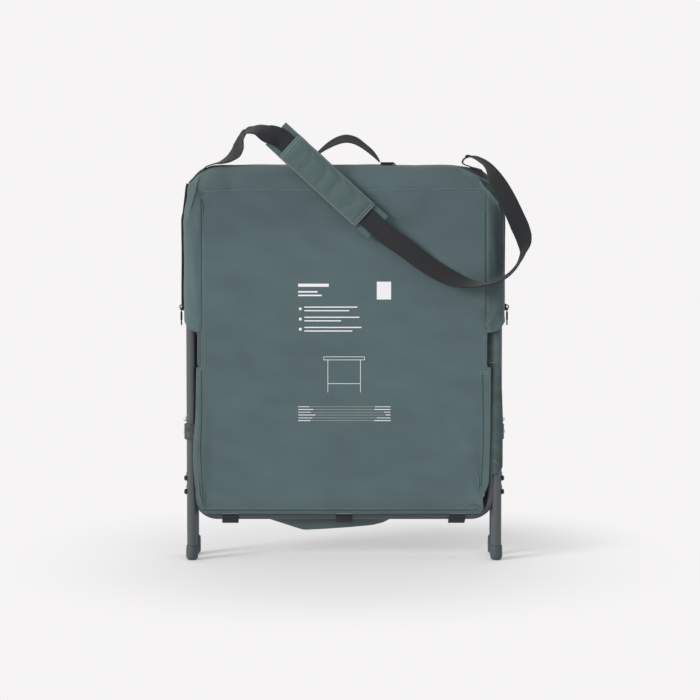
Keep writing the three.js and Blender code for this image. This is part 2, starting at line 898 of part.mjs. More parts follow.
function board(width, from, to, y) {
  const half = width / 2;
  const shape = new THREE.Shape();
  shape.absarc(half - leafCorner, from + leafCorner, leafCorner, -Math.PI / 2, 0);
  shape.absarc(half - leafCorner, to - leafCorner, leafCorner, 0, Math.PI / 2);
  shape.absarc(-half + leafCorner, to - leafCorner, leafCorner, Math.PI / 2, Math.PI);
  shape.absarc(-half + leafCorner, from + leafCorner, leafCorner, Math.PI, 3 * Math.PI / 2);
  return throughY(shape, y, y + leafThickness);
}

function hingeStrip() {
  const top = boardBase + leafHeight + fit;
  const half = leafWidth / 2 - leafCorner;
  const channel = block(
    [-half, frontLeafY - fit - stripWall, top - stripDepth],
    [half, stripBack, top + stripWall],
  );
  const gap = block(
    [-half - overrun, frontLeafY - fit, top - stripDepth - overrun],
    [half + overrun, stripBack - stripWall, top],
  );
  return cut(channel, [gap]);
}

// The lowest line of the folded fabric as seen from the front: shares of the sag's width and depth
const sagShares = [
  [0, 0], [0.06, 0.12], [0.16, 0.46], [0.27, 0.86], [0.36, 1], [0.5, 0.96],
  [0.66, 0.9], [0.8, 0.74], [0.9, 0.4], [1, 0],
];

function fabricBody() {
  const half = bodyWidth / 2;
  const sag = sagShares.map(([along, down]) => [
    -sagLeft + along * (sagLeft + sagRight),
    bodyBase - down * sagDepth,
  ]);
  const outline = shapeOf([[-half, bodyBase], ...sag, [half, bodyBase], [half, bodyTop], [-half, bodyTop]]);
  const front = -frameY + loopOuter + fit;
  const back = frameY - barRadius - 3 * fit - webbing;
  const low = bodyBase - sagDepth;
  const seat = boardBase - fit;
  const section = shapeOf([
    [front + bodyRound, low],
    [back - bodyRound, low],
    [back - bodyRound / 3, low + bodyRound / 3],
    [back, low + bodyRound],
    [back, bodyTop],
    [bodyFront, bodyTop],
    [bodyFront, seat],
    [front, seat],
    [front, low + bodyRound],
    [front + bodyRound / 3, low + bodyRound / 3],
  ]);
  return overlapOf([throughY(outline, -frameY, frameY), throughX(section, -half, half)]);
}

// The body's side cloth over the front of the right leg and its collar, with a flap behind the panel
function legWrap() {
  const inner = legRadius + turnFit;
  const outer = inner + wrapThickness;
  const from = -Math.PI * 25 / 36;
  const to = -Math.PI / 4;
  const shape = new THREE.Shape();
  shape.absarc(0, 0, outer, from, to);
  shape.absarc(0, 0, inner, to, from, true);
  const wrap = new THREE.ExtrudeGeometry(shape, {
    depth: wrapTop - wrapBottom,
    steps: wrapSteps,
    bevelEnabled: false,
    curveSegments: bendSteps / 2,
  }).translate(0, 0, wrapBottom);
  const place = wrap.attributes.position;
  const swell = (collarRadius + turnFit) / inner;
  const collarTop = lowPivotHeight + railWidth / 2;
  for (let i = 0; i < place.count; i += 1) {
    const above = THREE.MathUtils.smoothstep(place.getZ(i), collarTop, collarTop + 3 * collarHeight);
    const share = THREE.MathUtils.lerp(swell, 1, above);
    place.setXY(i, place.getX(i) * share, place.getY(i) * share);
  }
  wrap.translate(legX, -frameY, 0);
  const flap = block(
    [seamX + fit, -frameY - outer, skirtHeight],
    [legX, -frameY - inner, wrapTop],
  );
  return join([wrap, flap]);
}

// Assembly

const unit = new THREE.Group();

function add(name, geometry, finish, group = unit) {
  const mesh = new THREE.Mesh(geometry, new THREE.MeshStandardMaterial(finish));
  mesh.name = name;
  group.add(mesh);
}

for (const frame of frames) {
  for (const side of sides) {
    add(`${frame.name}_leg_${side.name}`, leg(side, frame), framePaint);
    add(`${frame.name}_foot_cap_${side.name}`, footCap(side, frame), capPlastic);
    add(`${frame.name}_collar_${side.name}`, collar(side, frame), blackPlastic);
    const lowPivot = pivot(side, frame, lowPivotHeight, lowPivotHead);
    const highPivot = pivot(side, frame, highPivotHeight, highPivotHead);
    add(`${frame.name}_lower_pivot_${side.name}`, lowPivot, paleSteel);
    add(`${frame.name}_upper_pivot_${side.name}`, highPivot, paleSteel);
    screwDrops.forEach((drop, i) => {
      add(`${frame.name}_bar_screw_${side.name}_${i + 1}`, barScrew(side, frame, drop), blackSteel);
    });
  }
  add(`${frame.name}_top_bow`, topBow(frame), framePaint);
  add(`${frame.name}_lower_bar`, lowerBar(frame), framePaint);
}

for (const side of sides) {
  add(`lower_rail_front_${side.name}`, frontRail(side, lowPivotHeight, 1), framePaint);
  add(`lower_rail_rear_${side.name}`, rearRail(side, lowPivotHeight, 1), framePaint);
  add(`upper_rail_front_${side.name}`, frontRail(side, highPivotHeight, -1), framePaint);
  add(`upper_rail_rear_${side.name}`, rearRail(side, highPivotHeight, -1), framePaint);
  add(`zip_slider_${side.name}`, zipSlider(side), blackSteel);
  add(`zip_pull_${side.name}`, zipPull(side), blackPlastic);
  add(`handle_end_${side.name}`, handleEnd(side), webbingCloth);
}

const farFront = -ridgeRadius - overrun;
add('cover_front', coverHalf(farFront, zipDepth - fit / 2, looseCorner), coverCloth);
add('cover_rear', coverHalf(zipDepth + fit / 2, -farFront, 0), coverCloth);
['left', 'middle', 'right'].forEach((place, i) => {
  add(`bar_tab_${place}`, barTab((i - 1) * tabSpacing), webbingCloth);
});

add('shoulder_strap', webbingStrip(strapRoute, strapWidth, strapThickness), webbingCloth);
add('shoulder_pad', shoulderPad(), coverCloth);
add('grab_handle', webbingStrip(handleRoute, handleWidth, handleThickness), webbingCloth);

add('worktop_leaf_front', board(leafWidth, boardBase, boardBase + leafHeight, frontLeafY), boardFinish);
add('worktop_leaf_rear', board(leafWidth, boardBase, boardBase + leafHeight, rearLeafY), boardFinish);
add('worktop_hinge_strip', hingeStrip(), blackPlastic);
add('shelf_board', board(shelfWidth, boardBase, boardBase + shelfHeight, shelfY), boardFinish);
add('fabric_body', fabricBody(), coverCloth);
add('body_side_right', legWrap(), coverCloth);

export default unit;
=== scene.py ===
import math

import bmesh
import bpy
from mathutils import Matrix, Vector, noise
from mathutils.bvhtree import BVHTree


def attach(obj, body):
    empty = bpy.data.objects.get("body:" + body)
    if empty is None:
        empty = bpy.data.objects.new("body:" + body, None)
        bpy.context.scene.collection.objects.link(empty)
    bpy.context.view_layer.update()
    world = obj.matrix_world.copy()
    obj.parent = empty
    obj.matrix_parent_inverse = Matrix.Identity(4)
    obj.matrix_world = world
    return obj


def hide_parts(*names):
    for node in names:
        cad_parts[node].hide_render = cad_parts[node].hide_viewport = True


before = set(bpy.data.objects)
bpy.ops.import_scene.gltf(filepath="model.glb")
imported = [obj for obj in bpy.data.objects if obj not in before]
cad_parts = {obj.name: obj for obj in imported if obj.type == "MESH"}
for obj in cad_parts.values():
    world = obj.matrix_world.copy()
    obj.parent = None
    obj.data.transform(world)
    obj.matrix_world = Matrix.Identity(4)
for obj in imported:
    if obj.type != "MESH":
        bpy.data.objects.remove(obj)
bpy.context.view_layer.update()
scene = bpy.context.scene

# Metres throughout. The front is towards -Y, and left and right are as seen from the front.


# Colours and small helpers
def srgb(red, green, blue):
    def linear(value):
        value = value / 255
        return value / 12.92 if value <= 0.04045 else ((value + 0.055) / 1.055) ** 2.4

    return (linear(red), linear(green), linear(blue), 1.0)


def lerp(a, b, share):
    return a + (b - a) * share


def smooth(low, high, value):
    share = min(1.0, max(0.0, (value - low) / (high - low)))
    return share * share * (3 - 2 * share)


def tableAt(table, value):
    if value <= table[0][0]:
        return table[0][1]
    for (x0, y0), (x1, y1) in zip(table, table[1:]):
        if value <= x1:
            return lerp(y0, y1, (value - x0) / (x1 - x0))
    return table[-1][1]


# Camera: a long lens a little above the unit, turned down slightly
cameraSetup = {"place": (0.0115, -4.5, 0.86), "tilt": 3.5, "lens": 117.2, "shiftY": -0.1229}


def addCamera(setup):
    data = bpy.data.cameras.new("photoCamera")
    data.lens = setup["lens"]
    data.sensor_width = 36
    data.shift_y = setup["shiftY"]
    data.clip_end = 60
    camera = bpy.data.objects.new("photoCamera", data)
    camera.location = setup["place"]
    camera.rotation_euler = (math.radians(90 - setup["tilt"]), 0, 0)
    scene.collection.objects.link(camera)
    scene.camera = camera


addCamera(cameraSetup)
print("camera placed")


# Node helpers: a socket takes another node's output or a constant
def feed(tree, socket, value):
    if isinstance(value, bpy.types.NodeSocket):
        tree.links.new(value, socket)
    else:
        socket.default_value = value


def addNode(tree, kind, inputs=None, **settings):
    node = tree.nodes.new("ShaderNode" + kind)
    for key, value in settings.items():
        setattr(node, key, value)
    for key, value in (inputs or {}).items():
        feed(tree, node.inputs[key], value)
    return node


def mathNode(tree, operation, *values, clamp=False):
    node = addNode(tree, "Math", dict(enumerate(values)), operation=operation, use_clamp=clamp)
    return node.outputs[0]


def scaled(tree, vector, scale):
    return addNode(tree, "VectorMath", {0: vector, "Scale": scale}, operation="SCALE").outputs[0]


def raised(tree, value, factor, base):
    return mathNode(tree, "ADD", mathNode(tree, "MULTIPLY", value, factor), base)


def swung(tree, value, middle, factor, clamp=False):
    return mathNode(tree, "MULTIPLY", mathNode(tree, "SUBTRACT", value, middle), factor, clamp=clamp)


def humps(tree, value):
    return mathNode(tree, "ABSOLUTE", mathNode(tree, "SINE", mathNode(tree, "MULTIPLY", value, math.pi)))


# Shared node groups: weave, ribs, mottling and grain
def newGroup(name, inputs, outputs):
    group = bpy.data.node_groups.new(name, "ShaderNodeTree")
    for label, kind, value in inputs:
        socket = group.interface.new_socket(name=label, in_out="INPUT", socket_type="NodeSocket" + kind)
        if value is not None:
            socket.default_value = value
    for label, kind in outputs:
        group.interface.new_socket(name=label, in_out="OUTPUT", socket_type="NodeSocket" + kind)
    return group, group.nodes.new("NodeGroupInput").outputs, group.nodes.new("NodeGroupOutput").inputs


def weaveGroup():
    group, start, end = newGroup("plainWeave", [("Vector", "Vector", None), ("Threads", "Float", 1400.0)],
                                 [("Height", "Float"), ("Shade", "Float")])
    threads = addNode(group, "SeparateXYZ", {0: scaled(group, start["Vector"], start["Threads"])}).outputs
    cells = mathNode(group, "ADD", *(mathNode(group, "FLOOR", threads[axis]) for axis in (0, 1)))
    over = mathNode(group, "MODULO", mathNode(group, "ABSOLUTE", cells), 2.0)
    warp = mathNode(group, "MULTIPLY", humps(group, threads[0]), over)
    weft = mathNode(group, "MULTIPLY", humps(group, threads[1]), mathNode(group, "SUBTRACT", 1.0, over))
    height = mathNode(group, "ADD", warp, weft)
    feed(group, end["Height"], height)
    feed(group, end["Shade"], raised(group, height, 0.22, 0.86))
    return group


def ribGroup():
    group, start, end = newGroup("webbingRibs", [("Vector", "Vector", None), ("Ribs", "Float", 620.0)],
                                 [("Height", "Float"), ("Shade", "Float")])
    ribs = addNode(group, "SeparateXYZ", {0: scaled(group, start["Vector"], start["Ribs"])}).outputs
    zigzag = mathNode(group, "PINGPONG", ribs[0], 1.4)
    slanted = mathNode(group, "ADD", ribs[1], mathNode(group, "MULTIPLY", zigzag, 0.5))
    rib = mathNode(group, "MULTIPLY", humps(group, slanted), 0.7)
    height = mathNode(group, "ADD", rib, mathNode(group, "MULTIPLY", humps(group, ribs[0]), 0.3))
    feed(group, end["Height"], height)
    feed(group, end["Shade"], raised(group, height, 0.5, 0.68))
    return group


def mottleGroup():
    group, start, end = newGroup(
        "mottledColour",
        [("Vector", "Vector", None), ("Color", "Color", (0.5, 0.5, 0.5, 1)), ("Scale", "Float", 8.0),
         ("Amount", "Float", 0.1)],
        [("Color", "Color"), ("Value", "Float")],
    )
    pattern = addNode(group, "TexNoise", {"Vector": start["Vector"], "Scale": start["Scale"], "Detail": 4,
                                          "Roughness": 0.6}).outputs[0]
    level = raised(group, swung(group, pattern, 0.5, start["Amount"]), 2.0, 1.0)
    feed(group, end["Color"], scaled(group, start["Color"], level))
    feed(group, end["Value"], pattern)
    return group


def grainGroup():
    group, start, end = newGroup(
        "fineGrain",
        [("Vector", "Vector", None), ("Scale", "Float", 900.0), ("Wear", "Float", 0.1)],
        [("Height", "Float"), ("Roughness", "Float"), ("Rub", "Float")],
    )
    fine = addNode(group, "TexNoise", {"Vector": start["Vector"], "Scale": start["Scale"], "Detail": 2})
    broad = addNode(group, "TexNoise", {"Vector": start["Vector"], "Scale": 22, "Detail": 5}).outputs[0]
    rub = swung(group, broad, 0.62, 6.0, clamp=True)
    feed(group, end["Height"], fine.outputs[0])
    feed(group, end["Roughness"], swung(group, broad, 0.5, start["Wear"]))
    feed(group, end["Rub"], mathNode(group, "MULTIPLY", rub, start["Wear"]))
    return group


groups = {"weave": weaveGroup(), "ribs": ribGroup(), "mottle": mottleGroup(), "grain": grainGroup()}


def placeGroup(tree, key, **values):
    return addNode(tree, "Group", values, node_tree=groups[key]).outputs


def startMaterial(name, constants):
    material = bpy.data.materials.new(name)
    material.use_nodes = True
    tree = material.node_tree
    shader = tree.nodes["Principled BSDF"]
    for label, value in constants.items():
        shader.inputs[label].default_value = value
    return material, tree, shader, addNode(tree, "TexCoord").outputs


def bumpInto(tree, shader, height, distance, strength):
    bump = addNode(tree, "Bump", {"Height": height, "Distance": distance, "Strength": strength})
    feed(tree, shader.inputs["Normal"], bump.outputs[0])


# Woven cloth reads the piece's own UV map, which is in metres
def clothMaterial(name, color, threads=1400, mottle=0.06, crease=0.35, toned=False):
    material, tree, shader, coords = startMaterial(name, {
        "Roughness": 0.78, "Sheen Weight": 0.12, "Sheen Roughness": 0.5, "Specular IOR Level": 0.3})
    weave = placeGroup(tree, "weave", Vector=coords["UV"], Threads=threads)
    broad = placeGroup(tree, "mottle", Vector=coords["Object"], Color=color, Scale=7.0, Amount=mottle)
    small = placeGroup(tree, "mottle", Vector=coords["Object"], Color=broad["Color"], Scale=160.0,
                       Amount=mottle * 0.8)
    shade = weave["Shade"]
    # with toned, the tone attribute's painted highlight and shade and random tone scale the colour
    if toned:
        tone = addNode(tree, "Attribute", attribute_name="tone")
        shade = mathNode(tree, "MULTIPLY", shade, tone.outputs["Fac"])
    feed(tree, shader.inputs["Base Color"], scaled(tree, small["Color"], shade))
    creases = addNode(tree, "TexNoise", {"Vector": coords["Object"], "Scale": 34, "Detail": 5,
                                         "Distortion": 1.2})
    height = mathNode(tree, "ADD", mathNode(tree, "MULTIPLY", weave["Height"], 0.12),
                      mathNode(tree, "MULTIPLY", creases.outputs[0], crease))
    bumpInto(tree, shader, height, 0.0012, 0.6)
    return material


# With paintedShade given, the webbing darkens to that share from one x to the next: painted shade on the
# strap's right run, away from the light
def webbingMaterial(name, color, ribs=620, paintedShade=None):
    material, tree, shader, coords = startMaterial(name, {
        "Roughness": 0.85, "Sheen Weight": 0.15, "Specular IOR Level": 0.25})
    rib = placeGroup(tree, "ribs", Vector=coords["UV"], Ribs=ribs)
    tone = placeGroup(tree, "mottle", Vector=coords["Object"], Color=color, Scale=60.0, Amount=0.12)
    shade = rib["Shade"]
    if paintedShade:
        across = addNode(tree, "SeparateXYZ", {0: coords["Object"]}).outputs[0]
        limits = dict(zip(("From Min", "From Max", "To Max"), paintedShade))
        shadeRamp = addNode(tree, "MapRange", {"Value": across, "To Min": 1.0, **limits})
        shade = mathNode(tree, "MULTIPLY", shade, shadeRamp.outputs[0])
    feed(tree, shader.inputs["Base Color"], scaled(tree, tone["Color"], shade))
    bumpInto(tree, shader, rib["Height"], 0.0005, 0.7)
    return material


# Paint, plastic and metal, rubbed paler in places
def hardMaterial(name, color, rough, metallic=0.0, grainScale=900.0, grainDepth=0.00004, wear=0.15):
    material, tree, shader, coords = startMaterial(name, {"Metallic": metallic})
    grain = placeGroup(tree, "grain", Vector=coords["Object"], Scale=grainScale, Wear=wear)
    tone = placeGroup(tree, "mottle", Vector=coords["Object"], Color=color, Scale=30.0, Amount=0.05)
    paler = tuple(min(1.0, value * 1.8) for value in color[:3]) + (1.0,)
    mix = addNode(tree, "Mix", {0: grain["Rub"], 6: tone["Color"], 7: paler}, data_type="RGBA")
    feed(tree, shader.inputs["Base Color"], mix.outputs[2])
    feed(tree, shader.inputs["Roughness"], mathNode(tree, "ADD", grain["Roughness"], rough, clamp=True))
    bumpInto(tree, shader, grain["Height"], grainDepth, 0.5)
    return material


def boardMaterial(name, color):
    material, tree, shader, coords = startMaterial(name, {"Roughness": 0.45})
    drawn = addNode(tree, "Mapping", {"Vector": coords["Object"], "Scale": (3, 40, 60)}).outputs[0]
    tone = placeGroup(tree, "mottle", Vector=drawn, Color=color, Scale=3.0, Amount=0.16)
    feed(tree, shader.inputs["Base Color"], tone["Color"])
    bumpInto(tree, shader, tone["Value"], 0.0002, 0.4)
    return material


materials = {
    "cover": clothMaterial("greyGreenCloth", srgb(86, 105, 107), toned=True),
    "body": clothMaterial("bodyCloth", srgb(76, 93, 92), crease=0.6, toned=True),
    "pad": clothMaterial("padCloth", srgb(82, 101, 102), mottle=0.05, crease=0.2),
    "webbing": webbingMaterial("blackWebbing", srgb(42, 45, 47)),
    # the strap's right run has painted shade
    "strap": webbingMaterial("charcoalStrap", srgb(42, 45, 47), ribs=300, paintedShade=(0.26, 0.31, 0.68)),
    "tape": webbingMaterial("zipTape", srgb(38, 38, 41), ribs=1500),
    "thread": clothMaterial("paleThread", srgb(134, 148, 146), threads=3000),
    # painted shade for the dark strips along the cover's seam valleys
    "seamShade": clothMaterial("paintedSeamShadow", srgb(58, 72, 73), threads=3000),
    "paint": hardMaterial("greyPowderCoat", srgb(79, 85, 88), 0.38, 0.2),
    # a darker copy of the frame paint, used on the lower bars
    "barPaint": hardMaterial("barPowderCoat", srgb(71, 76, 80), 0.38, 0.2),
    "cap": hardMaterial("footPlastic", srgb(68, 74, 77), 0.6, grainDepth=0.00008),
    "dark": hardMaterial("darkPlastic", srgb(60, 64, 67), 0.55),
    "blackSteel": hardMaterial("blackSteel", srgb(22, 23, 26), 0.5, 0.2),
    "steel": hardMaterial("palePlatedSteel", srgb(205, 205, 200), 0.3, 0.9, grainScale=300, wear=0.3),
    "board": boardMaterial("laminatedBoard", srgb(150, 150, 146)),
    "print": hardMaterial("whitePrint", srgb(244, 246, 246), 0.7, wear=0.05),
}
print("materials made")


# A mesh becomes a piece that rides on a body of the frame
def finishPiece(name, mesh, material, body, nodes=(), slot=None, sharp=38):
    data = bpy.data.meshes.new(name)
    mesh.to_mesh(data)
    mesh.free()
    data.polygons.foreach_set("use_smooth", [True] * len(data.polygons))
    data.set_sharp_from_angle(angle=math.radians(sharp))
    piece = bpy.data.objects.new(name, data)
    scene.collection.objects.link(piece)
    data.materials.append(materials[material])
    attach(piece, body)
    if nodes:
        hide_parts(*nodes)
    return piece


# A grid whose points are placed by place(u, v), with u and v from 0 to 1 and a UV map in metres
def mappedGrid(countU, countV, place, sizeU, sizeV, keep=None):
    mesh = bmesh.new()
    bmesh.ops.create_grid(mesh, x_segments=countU, y_segments=countV, size=0.5)
    uvLayer = mesh.loops.layers.uv.new("cloth")
    for face in mesh.faces:
        for loop in face.loops:
            loop[uvLayer].uv = ((loop.vert.co.x + 0.5) * sizeU, (loop.vert.co.y + 0.5) * sizeV)
    if keep:
        gone = [face for face in mesh.faces
                if not keep(face.calc_center_median().x + 0.5, face.calc_center_median().y + 0.5)]
        bmesh.ops.delete(mesh, geom=gone, context="FACES")
    for vert in mesh.verts:
        vert.co = place(vert.co.x + 0.5, vert.co.y + 0.5)
    return mesh


def spunMesh(profile, steps):
    mesh = bmesh.new()
    verts = [mesh.verts.new((radius, 0, height)) for radius, height in profile]
    edges = [mesh.edges.new(pair) for pair in zip(verts, verts[1:])]
    bmesh.ops.spin(mesh, geom=verts + edges, cent=(0, 0, 0), axis=(0, 0, 1), angle=2 * math.pi,
                   steps=steps, use_merge=True, use_duplicate=False)
    bmesh.ops.remove_doubles(mesh, verts=mesh.verts, dist=1e-6)
    bmesh.ops.recalc_face_normals(mesh, faces=mesh.faces)
    return mesh


def bevelledBox(size, centre, bevel):
    mesh = bmesh.new()
    place = Matrix.Translation(centre) @ Matrix.Diagonal((*size, 1))
    bmesh.ops.create_cube(mesh, size=1, matrix=place)
    bmesh.ops.bevel(mesh, geom=mesh.edges[:], offset=bevel, offset_type="OFFSET", segments=2, profile=0.5,
                    affect="EDGES", material=-1)
    return mesh


def weld(mesh, capped=False):
    bmesh.ops.remove_doubles(mesh, verts=mesh.verts, dist=1e-6)
    if capped:
        bmesh.ops.holes_fill(mesh, edges=mesh.edges[:], sides=0)


def movedTo(mesh, matrix):
    bmesh.ops.transform(mesh, matrix=matrix, verts=mesh.verts)
    return mesh


def joinMeshes(parts):
    whole = bmesh.new()
    for part in parts:
        data = bpy.data.meshes.new("part")
        part.to_mesh(data)
        part.free()
        whole.from_mesh(data)
        bpy.data.meshes.remove(data)
    return whole


def bridgeRows(mesh, rows):
    for first, second in zip(rows, rows[1:]):
        for i in range(len(first) - 1):
            mesh.faces.new((first[i], first[i + 1], second[i + 1], second[i]))


def faceAwayFrom(mesh, centre):
    mesh.normal_update()
    total = sum((face.calc_center_median() - Vector(centre)).dot(face.normal) * face.calc_area()
                for face in mesh.faces)
    if total < 0:
        bmesh.ops.reverse_faces(mesh, faces=mesh.faces)
    mesh.normal_update()


def pushOut(mesh, amountAt):
    mesh.normal_update()
    moves = [vert.normal * amountAt(vert.co) for vert in mesh.verts]
    for vert, move in zip(mesh.verts, moves):
        vert.co += move


def ruffle(mesh, amount, scale, seed, hold, stretchZ=1):
    shift = Vector((seed, seed * 1.7, -seed))

    def amountAt(point):
        place = Vector((point.x, point.y, point.z * stretchZ)) * scale
        return noise.noise(place + shift) * amount * hold(point)

    pushOut(mesh, amountAt)


# The toned cloths read this attribute, which holds their painted highlight and shade as well as random
# tone, so each of their pieces has it
def paintTone(mesh, toneAt):
    tone = mesh.verts.layers.float.new("tone")
    for vert in mesh.verts:
        vert[tone] = toneAt(vert.co)


def addSolidify(piece, thickness, offset):
    modifier = piece.modifiers.new("Thickness", "SOLIDIFY")
    modifier.thickness = thickness
    modifier.offset = offset
    modifier.use_even_offset = False


def addBevel(piece, width):
    modifier = piece.modifiers.new("RoundedEdges", "BEVEL")
    modifier.width = width
    modifier.segments = 2
    modifier.limit_method = "ANGLE"
    modifier.angle_limit = math.radians(40)


# Webbing keeps a little less than its full thickness, for the rounded edges
def thicken(piece, thickness, bevel, share=0.85):
    addSolidify(piece, thickness * share, 0)
    addBevel(piece, bevel)


def addSubdivision(piece):
    modifier = piece.modifiers.new("Smooth", "SUBSURF")
    modifier.levels = 1
    modifier.render_levels = 1


def lineLength(points):
    return sum((b - a).length for a, b in zip(points, points[1:]))


def directionAt(points, i):
    return (points[min(i + 1, len(points) - 1)] - points[max(i - 1, 0)]).normalized()


# Stitches: short raised dashes along lines of (point, outward) pairs
def stitchMesh(lines, dash, gap, width, height):
    mesh = bmesh.new()
    for line in lines:
        passed = [0.0]
        for (start, _), (end, _) in zip(line, line[1:]):
            passed.append(passed[-1] + (end - start).length)

        def pointAt(distance):
            i = next((k for k in range(1, len(passed)) if passed[k] >= distance), len(passed) - 1)
            share = (distance - passed[i - 1]) / max(passed[i] - passed[i - 1], 1e-9)
            return line[i - 1][0].lerp(line[i][0], min(1, share)), line[i][1]

        at = gap
        while at + dash < passed[-1]:
            start, out = pointAt(at)
            end, _ = pointAt(at + dash)
            along = (end - start).normalized()
            side = along.cross(out).normalized()
            up = side.cross(along).normalized()
            place = Matrix((side * width, along * dash, up * height)).transposed().to_4x4()
            place.translation = start.lerp(end, 0.5) + up * height / 4
            bmesh.ops.create_cube(mesh, size=1, matrix=place)
            at += dash + gap
    return mesh


# A narrow raised strip along a line of (point, outward) pairs
def stripMesh(line, width, height):
    mesh = bmesh.new()
    points = [point for point, _ in line]
    rows = []
    for i, (point, out) in enumerate(line):
        side = directionAt(points, i).cross(out).normalized() * (width / 2)
        top = point + out * height
        rows.append([mesh.verts.new(spot)
                     for spot in (point + side, top + side * 0.3, top - side * 0.3, point - side)])
    bridgeRows(mesh, rows)
    return mesh


# A fold is a low ridge that tapers at both ends, through these points of (across, rise, lightness): the
# lightness paints a highlight on one flank and shade on the other
foldSection = ((1, 0, 1), (0.4, 0.7, 1.3), (0, 1, 1.18), (-0.4, 0.6, 0.55), (-1, 0, 1))


def foldMesh(line, width, height):
    mesh = bmesh.new()
    tone = mesh.verts.layers.float.new("tone")
    points = [point for point, _ in line]
    rows = []
    for i, (point, out) in enumerate(line):
        share = i / (len(line) - 1)
        taper = smooth(0, 0.25, share) * smooth(1, 0.75, share)
        side = directionAt(points, i).cross(out).normalized() * (width / 2 * (0.35 + 0.65 * taper))
        rows.append([])
        for across, rise, shade in foldSection:
            vert = mesh.verts.new(point + side * across + out * (height * rise * taper))
            vert[tone] = 1 + (shade - 1) * taper
            rows[-1].append(vert)
    bridgeRows(mesh, rows)
    return mesh


# The finished surface of a piece, to lay seams and stitches on
def surfaceOf(piece):
    return BVHTree.FromObject(piece, bpy.context.evaluated_depsgraph_get())


def laidOn(surface, points, away, lift=0.0):
    line = []
    for point in points:
        spot, normal, _, _ = surface.ray_cast(point + away * 0.2, -away, 0.4)
        if spot is None:
            continue
        if normal.dot(away) < 0:
            normal = -normal
        line.append((spot + normal * lift, normal))
    return line


def steppedLine(corners, step=0.002):
    points = []
    for start, end in zip(corners, corners[1:]):
        count = max(1, round((end - start).length / step))
        points += [start.lerp(end, i / count) for i in range(count)]
    return points + [corners[-1]]


# A patch of the front's surface between two (x, z) corners
def drapedPatch(surface, low, high, lift, pitch=0.004):
    sizeX, sizeZ = high[0] - low[0], high[1] - low[1]

    def place(u, v):
        point = Vector((lerp(low[0], high[0], u), -0.1, lerp(low[1], high[1], v)))
        spot, normal, _, _ = surface.ray_cast(point, Vector((0, 1, 0)))
        return spot + normal * lift

    return mappedGrid(max(2, round(sizeX / pitch)), max(2, round(sizeZ / pitch)), place, sizeX, sizeZ)


# A smooth curve through the points of a route of (x, y, z, turn, width share)
def routePoint(route, at):
    last = len(route) - 1
    i = min(int(at), last - 1)
    share = at - i
    points = [Vector(row[:3]) for row in route]
    p1, p2 = points[i], points[i + 1]
    p0 = points[i - 1] if i else p1 * 2 - p2
    p3 = points[i + 2] if i + 2 <= last else p2 * 2 - p1
    d0, d1, d2 = (max((b - a).length ** 0.5, 1e-4) for a, b in ((p0, p1), (p1, p2), (p2, p3)))
    m1 = ((p1 - p0) / d0 - (p2 - p0) / (d0 + d1) + (p2 - p1) / d1) * d1
    m2 = ((p2 - p1) / d1 - (p3 - p1) / (d1 + d2) + (p3 - p2) / d2) * d1
    s2, s3 = share * share, share * share * share
    return p1 * (2 * s3 - 3 * s2 + 1) + m1 * (s3 - 2 * s2 + share) + p2 * (3 * s2 - 2 * s3) + m2 * (s3 - s2)


# Webbing lies along the route, turned about it by the given degrees
def routeFrames(route, perPoint=6):
    last = len(route) - 1
    frames = []
    for step in range(last * perPoint + 1):
        at = step / perPoint
        ahead, behind = routePoint(route, min(at + 0.01, last)), routePoint(route, max(at - 0.01, 0))
        along = (ahead - behind).normalized()
        level = (Vector((0, 1, 0)) - along * along.y).normalized()
        upright = along.cross(level)
        low = min(int(at), last - 1)
        turns, shares = zip(*((row[3], row[4] if len(row) > 4 else 1) for row in route[low:low + 2]))
        turn = math.radians(lerp(*turns, at - low))
        across = level * math.cos(turn) + upright * math.sin(turn)
        frames.append((routePoint(route, at), across, along.cross(across), lerp(*shares, at - low)))
    return frames


def webbingMesh(frames, width, cup):
    count = len(frames) - 1

    def place(u, v):
        point, across, face, share = frames[round(v * count)]
        side = (u - 0.5) * 2
        return point + across * (side * width / 2 * share) + face * (cup * (side * side - 0.5))

    return mappedGrid(6, count, place, width, lineLength([row[0] for row in frames]))


